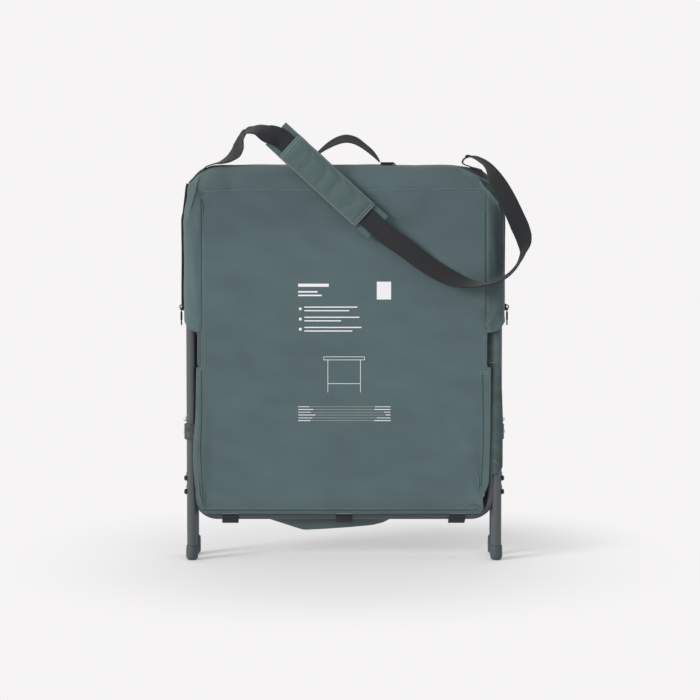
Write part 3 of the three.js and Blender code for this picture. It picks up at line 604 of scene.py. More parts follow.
strap = {
    "width": 0.038,
    "thickness": 0.0022,
    "cup": 0.0006,
    "edge": 0.0007,
    "route": [
        (-0.3064, -0.004, 0.7462, 0), (-0.2982, -0.004, 0.7562, 0), (-0.288, -0.004, 0.7676, 0),
        (-0.2752, -0.004, 0.7758, 0), (-0.2624, -0.004, 0.7808, 0), (-0.2475, -0.0045, 0.7848, 3),
        (-0.227, -0.01, 0.7945, 22), (-0.211, -0.018, 0.809, 40), (-0.2005, -0.028, 0.829, 28),
        (-0.1955, -0.037, 0.839, 14), (-0.186, -0.0455, 0.8485, 12), (-0.167, -0.054, 0.85, 32),
        (-0.149, -0.0575, 0.842, 66), (-0.133, -0.0542, 0.838, 86), (-0.1197, -0.0513, 0.8301, 90),
        (-0.1086, -0.052, 0.8199, 90), (-0.0582, -0.0553, 0.7737, 90), (-0.0078, -0.0587, 0.7275, 90),
        (0.0421, -0.062, 0.6818, 90), (0.0597, -0.0632, 0.6657, 90), (0.081, -0.0646, 0.6462, 90),
        (0.12, -0.064, 0.619, 82), (0.158, -0.062, 0.59, 68), (0.189, -0.063, 0.5705, 60),
        (0.214, -0.065, 0.5588, 48), (0.244, -0.069, 0.5512, 22), (0.275, -0.0705, 0.5498, 3),
        (0.301, -0.069, 0.557, 6), (0.323, -0.0665, 0.5695, 2), (0.3405, -0.064, 0.5905, 1),
        (0.3495, -0.061, 0.611, 10), (0.3515, -0.0595, 0.628, 38), (0.3495, -0.0595, 0.643, 54),
        (0.343, -0.06, 0.661, 64), (0.331, -0.062, 0.688, 60), (0.3188, -0.064, 0.716, 50),
        (0.3055, -0.064, 0.74, 46), (0.2955, -0.0625, 0.7545, 44), (0.286, -0.057, 0.768, 34),
        (0.274, -0.041, 0.7815, 18), (0.261, -0.019, 0.7905, 6), (0.246, -0.004, 0.796, 0),
        (0.236, -0.004, 0.7925, 0), (0.2328, -0.004, 0.7856, 0), (0.2385, -0.004, 0.7806, 0),
        (0.2505, -0.004, 0.7778, 0), (0.261, -0.004, 0.7752, 0), (0.2735, -0.004, 0.7708, 0),
    ],
    "padStart": 15,
    "padEnd": 18,
    # whether counted from the right end, and where along the strap it lies on the cover and leaves it
    "sewnEnds": [(False, 0.064, 0.084), (True, 0.040, 0.062)],
    "sewnClear": 0.0011,
}
strapFrames = routeFrames(strap["route"])
strapLength = lineLength([row[0] for row in strapFrames])
strapPiece = finishPiece("shoulderStrapWebbing", webbingMesh(strapFrames, strap["width"], strap["cup"]),
                         "strap", "front_frame", ["shoulder_strap"], "webbing")
thicken(strapPiece, strap["thickness"], strap["edge"])
print("strap laid,", round(strapLength, 3), "m")


# Floor, world and lamp
studio = {
    "pale": srgb(246, 244, 245),
    "fadeStart": 0.32,
    "fadeEnd": 0.72,
    "floorGlow": 0.135,
    "floorRadius": 14,
    "worldLevel": 0.62,
    "sunLevel": 1.75,
    "sunFrom": (-1.0, -0.62, 0.42),
    "sunSoftness": 20,
}


def seenOrMirrored(tree):
    path = addNode(tree, "LightPath").outputs
    some = mathNode(tree, "MAXIMUM", path["Is Camera Ray"], path["Is Glossy Ray"])
    return mathNode(tree, "MAXIMUM", some, path["Is Transmission Ray"])


def mixInto(tree, end, share, first, second):
    mix = addNode(tree, "MixShader", {0: share, 1: first.outputs[0], 2: second.outputs[0]})
    feed(tree, tree.nodes[end].inputs[0], mix.outputs[0])


def addStudio(setup):
    world = bpy.data.worlds.new("paleStudio")
    scene.world = world
    world.use_nodes = True
    tree = world.node_tree
    light = tree.nodes["Background"]
    light.inputs["Color"].default_value = (1, 1, 1, 1)
    light.inputs["Strength"].default_value = setup["worldLevel"]
    backdrop = addNode(tree, "Background", {"Color": setup["pale"]})
    mixInto(tree, "World Output", seenOrMirrored(tree), light, backdrop)

    # the floor fades into the backdrop with distance and is lifted a little by a faint glow
    material, tree, shader, coords = startMaterial("paleFloor", {
        "Base Color": setup["pale"], "Roughness": 0.9, "Specular IOR Level": 0.1})
    reach = addNode(tree, "VectorMath", {0: coords["Object"]}, operation="LENGTH").outputs["Value"]
    limits = {"Value": reach, "From Min": setup["fadeStart"], "From Max": setup["fadeEnd"]}
    fade = addNode(tree, "MapRange", limits, interpolation_type="SMOOTHSTEP")
    seen = seenOrMirrored(tree)
    faint = addNode(tree, "Emission", {"Strength": mathNode(tree, "MULTIPLY", seen, setup["floorGlow"])})
    lifted = addNode(tree, "AddShader", {0: shader.outputs[0], 1: faint.outputs[0]})
    glow = addNode(tree, "Emission", {"Color": setup["pale"]})
    mixInto(tree, "Material Output", mathNode(tree, "MULTIPLY", fade.outputs[0], seen), lifted, glow)
    mesh = bmesh.new()
    bmesh.ops.create_circle(mesh, cap_ends=True, segments=64, radius=setup["floorRadius"])
    data = bpy.data.meshes.new("studioFloor")
    mesh.to_mesh(data)
    mesh.free()
    floor = bpy.data.objects.new("studioFloor", data)
    data.materials.append(material)
    scene.collection.objects.link(floor)

    lamp = bpy.data.lights.new("softSun", "SUN")
    lamp.energy = setup["sunLevel"]
    lamp.angle = math.radians(setup["sunSoftness"])
    sun = bpy.data.objects.new("softSun", lamp)
    sun.rotation_euler = Vector(setup["sunFrom"]).to_track_quat("Z", "Y").to_euler()
    scene.collection.objects.link(sun)


scene.view_settings.view_transform = "Standard"
addStudio(studio)
print("studio lit")


# Cover: one surface function serves both halves
cover = {
    "halfWidth": 0.3175,
    "seam": 0.2785,
    "ridge": 0.781,
    "ridgeRadius": 0.050,
    "ridgeCentre": 0.731,
    "foot": 0.0432,
    "hem": 0.092,
    "zipLine": 0.016,
    "notchEdge": 0.281,
    "rearNotchEdge": 0.2935,
    "skirtTop": 0.385,
    "hoodHem": 0.451,
    "sideHem": 0.476,
    "cornerReach": 0.110,
    "panelCorner": 0.007,
    "thickness": 0.0014,
    "tuck": 0.0012,
    "seamValley": 0.0010,
    # height, scale, shift of the seed and stretch, and where the panel's ripples fade out below the ridge
    "bandRipples": [(0.0022, 16, 0, 0.6), (0.0011, 45, 2, 1)],
    "panelRipples": [(0.0016, 7, 0, 0.5, 0.70), (0.0007, 26, 5, 1, 0.71)],
    # corners as shares of their reach, inwards and down
    "leftCorner": [
        (0, 0.99), (0.012, 0.93), (0.03, 0.85), (0.045, 0.76), (0.062, 0.66), (0.075, 0.54), (0.093, 0.345),
        (0.19, 0.24), (0.282, 0.136), (0.395, 0.064), (0.505, 0.018), (0.705, 0),
    ],
    "rightCorner": [(0, 0.9), (0.027, 0.735), (0.1, 0.52), (0.22, 0.3), (0.36, 0.14), (0.464, 0.085),
                    (0.71, 0.035), (0.98, 0)],
    "hemShares": [(0, 1), (0.38, 0.92), (0.7, 0.72), (1, 0)],
    "sideRows": [(0, 0.050), (0.3, 0.0492), (0.55, 0.0478), (0.75, 0.0448), (0.87, 0.0405), (0.925, 0.035),
                 (0.945, 0.029), (0.955, 0.021), (0.965, 0.013)],
    "bandRows": [-0.06, -0.035, -0.012, 0.012, 0.035, 0.06, 0.1]
    + [0.15 + 0.85 * step / 17 for step in range(18)],
    "panelColumns": [0, 0.0025, 0.005, 0.009, 0.015],
    "panelRows": [-0.018, -0.012, -0.006, -0.0025, -0.0005, 0.0015, 0.0035],
    # half width of the panel's left (-1) and right (1) edge over height
    "skirtEdges": {
        -1: [(0.092, 0.276), (0.1, 0.284), (0.115, 0.2895), (0.15, 0.2945), (0.2, 0.2985), (0.238, 0.2975),
             (0.29, 0.2925), (0.385, 0.2905)],
        1: [(0.092, 0.268), (0.098, 0.274), (0.104, 0.2775), (0.112, 0.2745), (0.124, 0.2725),
            (0.136, 0.2775), (0.152, 0.2855), (0.26, 0.2885), (0.385, 0.2885)],
    },
    "skirtTuck": {1: 0.006, -1: 0.0015},
    # the turned edge of the cloth at the right top corner, as z over x
    "cornerRidge": [(0.2187, 0.781), (0.2265, 0.775), (0.2461, 0.7652), (0.2617, 0.7579),
                    (0.2715, 0.7422), (0.2852, 0.7265), (0.2989, 0.709), (0.31, 0.68)],
}


def panelDepth(z):
    share = (min(z, cover["ridgeCentre"]) - cover["hem"]) / (cover["ridgeCentre"] - cover["hem"])
    return lerp(cover["foot"], cover["ridgeRadius"], share)


# The cover's outline as seen from the front, from the left side hem over the ridge to the right one
def coverOutline(perPoint=3, sideSteps=16, ridgeSteps=34):
    reach, wide, ridge, hem = (cover[key] for key in ("cornerReach", "halfWidth", "ridge", "sideHem"))

    def corner(key, sign):
        points = [Vector((sign * (wide - inward * reach), 0, ridge - down * reach))
                  for inward, down in cover[key]]
        if sign > 0:
            points.reverse()
        return [routePoint(points, step / perPoint) for step in range((len(points) - 1) * perPoint + 1)]

    left, right = corner("leftCorner", -1), corner("rightCorner", 1)
    start, end = Vector((-wide, 0, hem)), Vector((wide, 0, hem))
    return ([start.lerp(left[0], step / sideSteps) for step in range(sideSteps)] + left
            + [left[-1].lerp(right[0], step / ridgeSteps) for step in range(1, ridgeSteps)] + right
            + [right[-1].lerp(end, step / sideSteps) for step in range(1, sideSteps + 1)])


# The nearest point of the panel's border, and how far it belongs to the top (1) or the sides (0)
def panelBorder(point):
    seam, top, radius = cover["seam"], cover["ridgeCentre"], cover["panelCorner"]
    sign = -1 if point.x < 0 else 1
    centre = Vector((sign * (seam - radius), 0, top - radius))
    away = point - centre
    if away.z <= 0:
        return Vector((sign * seam, 0, point.z)), 0.0
    if away.x * sign <= 0:
        return Vector((point.x, 0, top)), 1.0
    away.normalize()
    return centre + away * radius, math.atan2(away.z, away.x * sign) * 2 / math.pi


# One row of the band between the panel's border and the zip line: share outwards and depth
def bandRow(w, facing, topness):
    zipDepth = -cover["zipLine"] * facing
    sideRows = [row for row in cover["sideRows"] if row[1] > zipDepth + 0.002] + [(1.0, zipDepth)]
    at = w * (len(sideRows) - 1)
    low = min(int(at), len(sideRows) - 2)
    side = [lerp(a, b, at - low) for a, b in zip(sideRows[low], sideRows[low + 1])]
    angle = w * (math.pi / 2 - math.asin(zipDepth / cover["ridgeRadius"]))
    top = (math.sin(angle), math.cos(angle) * cover["ridgeRadius"])
    return [lerp(a, b, topness) for a, b in zip(side, top)]


def coverBand(facing):
    outline = coverOutline()
    count, rows, hemRows = len(outline) - 1, len(cover["bandRows"]) - 1, 8

    def place(u, v):
        station = round(v * count)
        point = outline[station]
        border, topness = panelBorder(point)
        w = cover["bandRows"][round(u * rows)]
        out, depth = bandRow(max(w, 0), facing, topness)
        depth -= cover["tuck"] * smooth(0.05, -0.05, w)
        depth -= lerp(cover["seamValley"], 0, topness) * smooth(0.04, 0.0, abs(w))
        if w < 0:
            out = w * 0.050 / (point - border).length
        spot = border.lerp(point, out)
        fromHem = min(station, count - station) / hemRows
        if fromHem < 1:
            low = lerp(cover["hoodHem"], cover["sideHem"], 1 - tableAt(cover["hemShares"], out))
            spot.z = lerp(low, outline[hemRows].z, fromHem)
        share = depth / cover["ridgeRadius"] if depth > 0.03 and topness < 1 else 0
        spot.y = -facing * (depth + (panelDepth(spot.z) - cover["ridgeRadius"]) * share)
        return spot

    mesh = mappedGrid(rows, count, place, 0.1, lineLength(outline))
    faceAwayFrom(mesh, (0, 0, 0.6))
    return mesh


def coverPanel(facing):
    columns, edgeColumns = 64, 3
    top, seam, corner = cover["ridgeCentre"], cover["seam"], cover["panelCorner"]
    rowEnds = [(0, cover["hem"]), (30, cover["skirtTop"]), (37, cover["hoodHem"])]
    rowEnds += [(67 + i, top + rise) for i, rise in enumerate(cover["panelRows"])]
    rows = rowEnds[-1][0]
    close = cover["panelColumns"]
    nextTo = edgeColumns + len(close) - 1

    def height(v):
        return tableAt(rowEnds, v * rows)

    def place(u, v):
        z = height(v)
        at = u * columns
        sign = -1 if u < 0.5 else 1
        fromEdge = at if sign < 0 else columns - at
        inner = cover["notchEdge"] if facing > 0 else cover["rearNotchEdge"]
        outer = tableAt(cover["skirtEdges"][sign], z)
        if z <= cover["skirtTop"] + 1e-6:
            inner = min(inner, outer - cover["skirtTuck"][facing])
        if fromEdge < edgeColumns:
            x = lerp(outer, inner, fromEdge / edgeColumns)
        elif fromEdge < nextTo:
            x = inner - close[round(fromEdge) - edgeColumns]
        else:
            x = (inner - close[-1]) * abs(at - columns / 2) / (columns / 2 - nextTo)
        beyond = max(x - seam, 0.001 + z - top) if z > cover["hoodHem"] else -1
        sunk = cover["tuck"] * smooth(-0.0025, 0.0025, beyond)
        if cover["hoodHem"] < z < top - 0.012:
            sunk += cover["seamValley"] * smooth(0.002, 0, abs(x - seam))
        # the panel's top corners follow the border's rounding
        cut, rise = x - (seam - corner), z - (top - corner)
        size = math.hypot(cut, rise)
        if cut > 0 and rise > 0 and size > corner:
            x = seam - corner + cut * corner / size
            z = top - corner + rise * corner / size
        return Vector((x * sign, -facing * (panelDepth(z) - sunk), z))

    def keep(u, v):
        return min(u, 1 - u) * columns > edgeColumns or height(v) < cover["skirtTop"]

    mesh = mappedGrid(columns, rows, place, 0.58, 0.64, keep)
    faceAwayFrom(mesh, (0, 0, 0.4))
    return mesh


def coverFolds(point):
    top = smooth(0.60, 0.72, point.z)
    side = smooth(0.20, 0.30, abs(point.x))
    low = smooth(0.30, 0.12, point.z)
    return 0.45 + 0.5 * top + 0.5 * side + 0.5 * low


# Creases as seen from the front: from (x, z) to (x, z), height outwards and width
frontCreases = [
    (-0.284, 0.764, -0.297, 0.712, 0.0032, 0.0040), (-0.297, 0.712, -0.307, 0.672, 0.0024, 0.0040),
    (-0.290, 0.742, -0.278, 0.716, -0.0022, 0.0060), (-0.279, 0.719, -0.264, 0.711, 0.0016, 0.0035),
    (-0.280, 0.712, -0.262, 0.706, -0.0014, 0.0040), (-0.236, 0.776, -0.230, 0.728, -0.0020, 0.0090),
    (-0.200, 0.772, -0.214, 0.738, 0.0012, 0.0100), (-0.284, 0.640, -0.286, 0.560, -0.0014, 0.0060),
    (-0.296, 0.600, -0.292, 0.500, 0.0014, 0.0070), (-0.310, 0.500, -0.284, 0.462, 0.0014, 0.0060),
    (0.226, 0.775, 0.262, 0.758, 0.0030, 0.0036), (0.264, 0.755, 0.283, 0.729, 0.0034, 0.0036),
    (0.283, 0.729, 0.301, 0.706, 0.0028, 0.0045), (0.268, 0.755, 0.282, 0.740, -0.0040, 0.0045),
    (0.250, 0.771, 0.290, 0.756, -0.0034, 0.0045), (0.303, 0.700, 0.304, 0.560, -0.0042, 0.0110),
    (0.288, 0.690, 0.286, 0.620, 0.0012, 0.0040), (0.290, 0.640, 0.300, 0.575, 0.0016, 0.0050),
    (0.282, 0.456, 0.300, 0.500, 0.0026, 0.0045), (0.282, 0.456, 0.316, 0.492, -0.0028, 0.0050),
    (0.284, 0.453, 0.314, 0.478, 0.0030, 0.0045), (0.270, 0.470, 0.276, 0.500, -0.0010, 0.0050),
    (0.180, 0.745, 0.150, 0.690, -0.0010, 0.0100), (-0.150, 0.715, -0.050, 0.600, 0.0009, 0.0120),
    (0.060, 0.700, 0.160, 0.660, -0.0009, 0.0120), (0.120, 0.640, 0.230, 0.560, 0.0010, 0.0120),
    (-0.262, 0.300, -0.268, 0.150, -0.0012, 0.0070), (-0.287, 0.300, -0.292, 0.200, 0.0016, 0.0050),
    (0.262, 0.260, 0.268, 0.130, -0.0014, 0.0070), (0.200, 0.300, 0.244, 0.220, 0.0009, 0.0100),
    (-0.210, 0.420, -0.160, 0.360, -0.0008, 0.0100), (0.250, 0.150, 0.276, 0.112, 0.0022, 0.0060),
    (-0.274, 0.140, -0.268, 0.104, -0.0016, 0.0040),
]
rearCreases = [(-x0 * 0.96, z0 - 0.006, -x1 * 0.97, z1 - 0.004, height * 0.8, width * 1.2)
               for x0, z0, x1, z1, height, width in frontCreases if abs(height) > 0.0011]
creases = {1: frontCreases, -1: rearCreases}


def creaseHeight(point, facing):
    total = 0.0
    for x0, z0, x1, z1, height, width in creases[facing]:
        dx, dz = x1 - x0, z1 - z0
        along = ((point.x - x0) * dx + (point.z - z0) * dz) / (dx * dx + dz * dz)
        if not -0.3 < along < 1.3:
            continue
        near = min(1.0, max(0.0, along))
        away = math.hypot(point.x - x0 - dx * near, point.z - z0 - dz * near)
        if away > 4 * width:
            continue
        fade = smooth(-0.25, 0.2, along) * smooth(1.25, 0.8, along)
        total += height * fade * math.exp(-(away / width) ** 2)
    return total


# How light the cloth is painted at a point: painted highlight and shade on its creases, the rim, the lit
# left side, the shaded right side and the turned corner, darker towards the top and at the hem, with random
# patches; the rear half has weaker painted shades
def coverToneAndShade(point, facing):
    side = point.x * facing
    # the painted shades are half as strong on the rear half
    depth = 1.0 if facing > 0 else 0.5
    height = creaseHeight(point, facing)
    # painted highlight on ridges and painted shade in valleys, and a painted highlight on the rim's left
    # and painted shade on its right
    tone = 1 + (45 if height > 0 else 80) * height
    # darker towards the top
    tone -= 0.10 * smooth(0.60, 0.70, point.z)
    tone += lerp(0.10, -0.06, smooth(-0.1, 0.15, side)) * smooth(0.762, 0.772, point.z)
    # painted shade on the right side above its notch and beyond the turned edge at the right top corner,
    # and a painted highlight along that edge
    beyond = point.z - tableAt(cover["cornerRidge"], side)
    notchShade = smooth(0.46, 0.54, point.z) * smooth(0.75, 0.71, point.z)
    tone -= depth * 0.28 * smooth(0.2795, 0.284, side) * notchShade
    tone -= depth * 0.40 * smooth(0, 0.004, beyond) * smooth(0.222, 0.238, side)
    tone += depth * 0.16 * math.exp(-((beyond + 0.004) / 0.004) ** 2) * smooth(0.222, 0.238, side)
    # a painted highlight on the lit left side, darker along the hem's seam, and painted shade along the
    # hem's lower edge above the bar
    tone += 0.05 * smooth(0.281, 0.288, -side) * smooth(0.72, 0.69, point.z)
    tone -= 0.10 * smooth(0.125, 0.104, point.z) - 0.14 * smooth(0.100, 0.097, point.z)
    tone -= 0.22 * smooth(0.0955, 0.0925, point.z)
    # broad and fine patches
    tone += 0.06 * noise.noise(Vector((point.x * 5, facing * 4, point.z * 11)))
    tone += 0.09 * noise.noise(Vector((point.x * 16 + point.z * 7, facing * 9, point.z * 30)))
    return max(0.35, tone)


def coverHalf(name, facing, seed, label):
    band, panel = coverBand(facing), coverPanel(facing)

    def awayFromZip(point):
        strapEnd = smooth(0.20, 0.235, abs(point.x)) * smooth(0.72, 0.745, point.z)
        strapEnd *= smooth(-0.034, -0.026, point.y)
        return smooth(0.0, 0.02, abs(point.y - cover["zipLine"])) * (1 - strapEnd)

    def bandHold(point):
        return coverFolds(point) * awayFromZip(point)

    for amount, scale, shift, stretch in cover["bandRipples"]:
        ruffle(band, amount, scale, seed + shift, bandHold, stretch)
    pushOut(band, lambda point: creaseHeight(point, facing) * awayFromZip(point))
    pushOut(panel, lambda point: creaseHeight(point, facing))
    for amount, scale, shift, stretch, full in cover["panelRipples"]:
        def belowRidge(point):
            return coverFolds(point) * smooth(cover["ridgeCentre"], full, point.z)

        ruffle(panel, amount, scale, seed + shift, belowRidge, stretch)
    mesh = joinMeshes([band, panel])
    paintTone(mesh, lambda point: coverToneAndShade(point, facing))
    piece = finishPiece(name, mesh, "cover", label + "_frame", ["cover_" + label], "cover_fabric", sharp=70)
    addSolidify(piece, cover["thickness"], -1)
    addSubdivision(piece)
    return piece


coverFront = coverHalf("coverFrontCloth", 1, 3.1, "front")
coverRear = coverHalf("coverRearCloth", -1, 8.4, "rear")
frontSurface = surfaceOf(coverFront)
halves = [(frontSurface, 1, "front"), (surfaceOf(coverRear), -1, "rear")]
print("cover sewn")

# A strip of the cover's inner cloth behind the left notch's edge
notchStrip = {"low": 0.382, "high": 0.453, "inner": -0.2740, "outer": -0.2884, "behind": 0.0024,
              "corner": 0.004, "tone": 0.88, "edgeTone": 0.1, "thickness": 0.0009}


def notchStripMesh(setup):
    def place(u, v):
        z = lerp(setup["low"], setup["high"], v)
        spot, _, _, _ = frontSurface.ray_cast(Vector((setup["inner"] - 0.004, -0.2, z)), Vector((0, 1, 0)))
        x = lerp(setup["inner"], setup["outer"], u) + setup["corner"] * u * smooth(0.12, 0, v)
        x += 0.0004 * noise.noise(Vector((7, z * 90, 0))) * u
        return Vector((x, spot.y + setup["behind"] + 0.0004 * noise.noise(Vector((x * 200, z * 60, 3))), z))

    mesh = mappedGrid(8, 30, place, setup["inner"] - setup["outer"], setup["high"] - setup["low"])
    faceAwayFrom(mesh, (-0.28, 0, 0.42))
    paintTone(mesh, lambda point: setup["tone"] + setup["edgeTone"] * smooth(-0.2866, -0.2880, point.x))
    return mesh


notchPiece = finishPiece("notchStrip.left", notchStripMesh(notchStrip), "cover", "front_frame")
addSolidify(notchPiece, notchStrip["thickness"], -1)

# Seam lines on a half of the cover, as (x, z) corners seen from its own side
coverSeams = {
    # the valleys get dark strips of painted shade
    "valley": [
        [(-0.279, 0.713), (-0.2792, 0.6), (-0.279, 0.458)],
        [(0.2765, 0.69), (0.2775, 0.6), (0.2785, 0.458)], [(-0.278, 0.101), (0.264, 0.101)],
        [(-0.28, 0.378), (-0.28, 0.29), (-0.283, 0.22), (-0.28, 0.15), (-0.277, 0.11)],
        [(0.2718, 0.378), (0.2735, 0.29), (0.2735, 0.22), (0.27, 0.148)],
        [(-0.2785, 0.713), (-0.2775, 0.721), (-0.274, 0.7285)],
    ],
    "stitch": [
        [(-0.277, 0.729), (-0.25, 0.7315), (-0.2, 0.7325), (0, 0.7335), (0.2715, 0.735)],
        [(-0.284, 0.37), (-0.287, 0.3), (-0.292, 0.22), (-0.288, 0.15), (-0.283, 0.115)],
        [(-0.2735, 0.449), (-0.2735, 0.385)], [(0.2745, 0.449), (0.2745, 0.385)],
        [(-0.272, 0.1045), (0.258, 0.1045)], [(-0.284, 0.456), (-0.315, 0.476)],
        [(0.284, 0.456), (0.315, 0.476)],
    ],
    "tack": [
        [(-0.289, 0.3745), (-0.282, 0.3745)], [(-0.289, 0.3705), (-0.282, 0.3705)],
        [(0.267, 0.3755), (0.285, 0.3755)], [(0.267, 0.3715), (0.285, 0.3715)],
        [(-0.241, 0.0945), (-0.209, 0.0945)], [(-0.016, 0.0945), (0.016, 0.0945)],
        [(0.209, 0.0945), (0.241, 0.0945)],
    ],
    "valleySize": (0.0017, 0.0001),
    # dash, gap, width and height
    "stitchSize": (0.0034, 0.0012, 0.0008, 0.0005),
    "tackSize": (0.0016, 0.0004, 0.0014, 0.0009),
    "lift": 0.0002,
    # each with its width and height
    "folds": [
        ([(-0.2817, 0.764), (-0.286, 0.748), (-0.2954, 0.7128), (-0.303, 0.685)], 0.0050, 0.0016),
        ([(-0.283, 0.744), (-0.278, 0.733)], 0.0030, 0.0010),
        ([(-0.282, 0.7205), (-0.274, 0.715), (-0.266, 0.714)], 0.0034, 0.0010),
        ([(0.2225, 0.777), (0.2461, 0.7652), (0.2617, 0.7579), (0.276, 0.751), (0.288, 0.744)],
         0.0040, 0.0020),
        ([(0.2605, 0.76), (0.265, 0.752), (0.2715, 0.7422), (0.2852, 0.7265), (0.2989, 0.709),
          (0.306, 0.688)], 0.0040, 0.0020),
        ([(0.278, 0.456), (0.286, 0.47), (0.296, 0.488), (0.308, 0.506)], 0.0044, 0.0016),
        ([(0.279, 0.4545), (0.292, 0.464), (0.305, 0.478), (0.314, 0.486)], 0.0044, 0.0016),
        ([(0.278, 0.458), (0.28, 0.478), (0.287, 0.505)], 0.0040, 0.0010),
        ([(-0.287, 0.165), (-0.285, 0.135), (-0.279, 0.106)], 0.0044, 0.0014),
        ([(-0.274, 0.14), (-0.276, 0.12), (-0.274, 0.104)], 0.0030, 0.0010),
        ([(0.242, 0.11), (0.256, 0.112), (0.268, 0.106), (0.275, 0.103)], 0.0034, 0.0014),
        ([(0.235, 0.105), (0.248, 0.103), (0.264, 0.099)], 0.0030, 0.0012),
        ([(0.26, 0.19), (0.266, 0.16), (0.264, 0.135)], 0.0050, 0.0009),
    ],
}


# A line on the cover that wavers a little
def coverLine(surface, corners, facing, lift, wave):
    points = steppedLine([Vector((x * facing, -facing * 0.05, z)) for x, z in corners])
    for point in points:
        point.x += wave * noise.noise(Vector((point.z * 60, facing, 0)))
        point.z += wave * noise.noise(Vector((point.x * 60, facing, 7)))
    return laidOn(surface, points, Vector((0, -facing, 0)), lift)


for surface, facing, label in halves:
    valleys, stitches, tacks = (
        [coverLine(surface, corners, facing, coverSeams["lift"], wave) for corners in coverSeams[key]]
        for key, wave in (("valley", 0.0004), ("stitch", 0.0004), ("tack", 0)))
    # the folds carry a painted highlight on one flank and painted shade on the other
    folds = [foldMesh(coverLine(surface, corners, facing, 0, 0.0008), *size)
             for corners, *size in coverSeams["folds"]]
    # painted shade: a dark strip along each seam valley
    seamShadows = joinMeshes([stripMesh(line, *coverSeams["valleySize"]) for line in valleys])
    finishPiece("coverSeams." + label, seamShadows, "seamShade", label + "_frame")
    dashes = [stitchMesh(stitches, *coverSeams["stitchSize"]), stitchMesh(tacks, *coverSeams["tackSize"])]
    finishPiece("coverStitches." + label, joinMeshes(dashes), "thread", label + "_frame")
    finishPiece("coverFolds." + label, joinMeshes(folds), "cover", label + "_frame", sharp=80)
print("cover stitched")


# The strap's sewn ends lie on the cover
def layStrapEnd(fromRight, near, far):
    data = strapPiece.data
    alongStrap = {}
    for loop, uv in zip(data.loops, data.uv_layers["cloth"].data):
        alongStrap[loop.vertex_index] = strapLength - uv.uv.y if fromRight else uv.uv.y
    for vert in data.vertices:
        weight = 1 - smooth(near, far, alongStrap[vert.index])
        if weight == 0:
            continue
        slant = smooth(0.245, 0.275, abs(vert.co.x)) * math.copysign(0.9, vert.co.x)
        out = Vector((slant, 0, 1)).normalized()
        spot, _, _, _ = frontSurface.ray_cast(vert.co + out * 0.012, -out, 0.08)
        if spot:
            vert.co = vert.co.lerp(spot + out * strap["sewnClear"], weight)


for end in strap["sewnEnds"]:
    layStrapEnd(*end)
print("strap ends sewn on")

# A plain white print on the front: a bare label, bars, a simple table figure and six thin rules
prints = {
    "lift": 0.0003,
    "height": 0.00005,
    "bars": [
        (-0.090, -0.030, 0.546, 0.0060), (-0.090, -0.052, 0.533, 0.0030), (-0.090, -0.044, 0.526, 0.0030),
        (-0.078, 0.026, 0.503, 0.0022), (-0.078, 0.010, 0.496, 0.0022), (-0.078, 0.030, 0.483, 0.0022),
        (-0.078, -0.006, 0.476, 0.0022), (-0.078, 0.034, 0.463, 0.0022), (-0.078, 0.016, 0.456, 0.0022),
    ],
    # each row is a bar at both ends and a rule between them
    "rows": [
        (-0.068, 0.060, 0.3064, 0.0012), (-0.060, 0.059, 0.3010, 0.0015), (-0.065, 0.078, 0.2956, 0.0012),
        (-0.056, 0.081, 0.2901, 0.0015), (-0.062, 0.064, 0.2843, 0.0012), (-0.066, 0.059, 0.2790, 0.0015),
    ],
    "rowEnds": (-0.0902, 0.0912),
    "rule": 0.0003,
    "ruleGap": 0.002,
    "dots": [(-0.086, 0.4995), (-0.086, 0.4795), (-0.086, 0.4595)],
    "dotSize": 0.005,
    "label": ((0.064, 0.518), (0.092, 0.553)),
    "figure": [
        [(-0.040, 0.405), (0.040, 0.405)], [(-0.040, 0.399), (0.040, 0.399)],
        [(-0.040, 0.405), (-0.040, 0.399)], [(0.040, 0.405), (0.040, 0.399)],
        [(-0.032, 0.399), (-0.032, 0.335)], [(0.032, 0.399), (0.032, 0.335)],
        [(-0.032, 0.352), (0.032, 0.352)],
    ],
    "figureWidth": 0.0010,
}


def printMesh(setup):
    bars = list(setup["bars"])
    (leftEnd, rightEnd), gap = setup["rowEnds"], setup["ruleGap"]
    for left, right, z, width in setup["rows"]:
        bars += [(leftEnd, left, z, width), (right, rightEnd, z, width)]
        bars.append((left + gap, right - gap, z, setup["rule"]))
    lines = [([(x0, z), (x1, z)], width) for x0, x1, z, width in bars]
    lines += [(corners, setup["figureWidth"]) for corners in setup["figure"]]
    half = setup["dotSize"] / 2
    patches = [((x - half, z - half), (x + half, z + half)) for x, z in setup["dots"]] + [setup["label"]]
    marks = [stripMesh(coverLine(frontSurface, corners, 1, setup["lift"], 0), width, setup["height"])
             for corners, width in lines]
    marks += [drapedPatch(frontSurface, low, high, setup["lift"]) for low, high in patches]
    return joinMeshes(marks)


finishPiece("frontPrint", printMesh(prints), "print", "front_frame")
print("print added")


# Zip tapes lie along the cover's sides, with their teeth between them
zips = {
    "low": 0.494, "high": 0.741, "steps": 62, "tape": 0.0075, "tapeShares": (0.12, 0.55, 1), "gap": 0.0003,
    "tooth": 0.0021, "toothPitch": 0.0026, "toothHeight": 0.0005, "piping": (0.0082, 0.0050),
    "pipingHeight": {-1: 0.0085, 1: 0.0045}, "ring": 0.0034, "ringWire": 0.0011,
    "ringPlace": (0.3232, 0.0126, 0.4990), "gripPlace": (0.32355, 0.016), "gripBevel": 0.0007,
    "grips": [("zipPullTip.", 0.4668, (0.0024, 0.0086, 0.0090)),
              ("zipPullSleeve.", 0.4805, (0.0036, 0.0084, 0.0170))],
}


def sideLine(surface, sign, y, lift):
    heights = [lerp(zips["low"], zips["high"], i / zips["steps"]) for i in range(zips["steps"] + 1)]
    return laidOn(surface, [Vector((sign * 0.31, y, z)) for z in heights], Vector((sign, 0, 0)), lift)


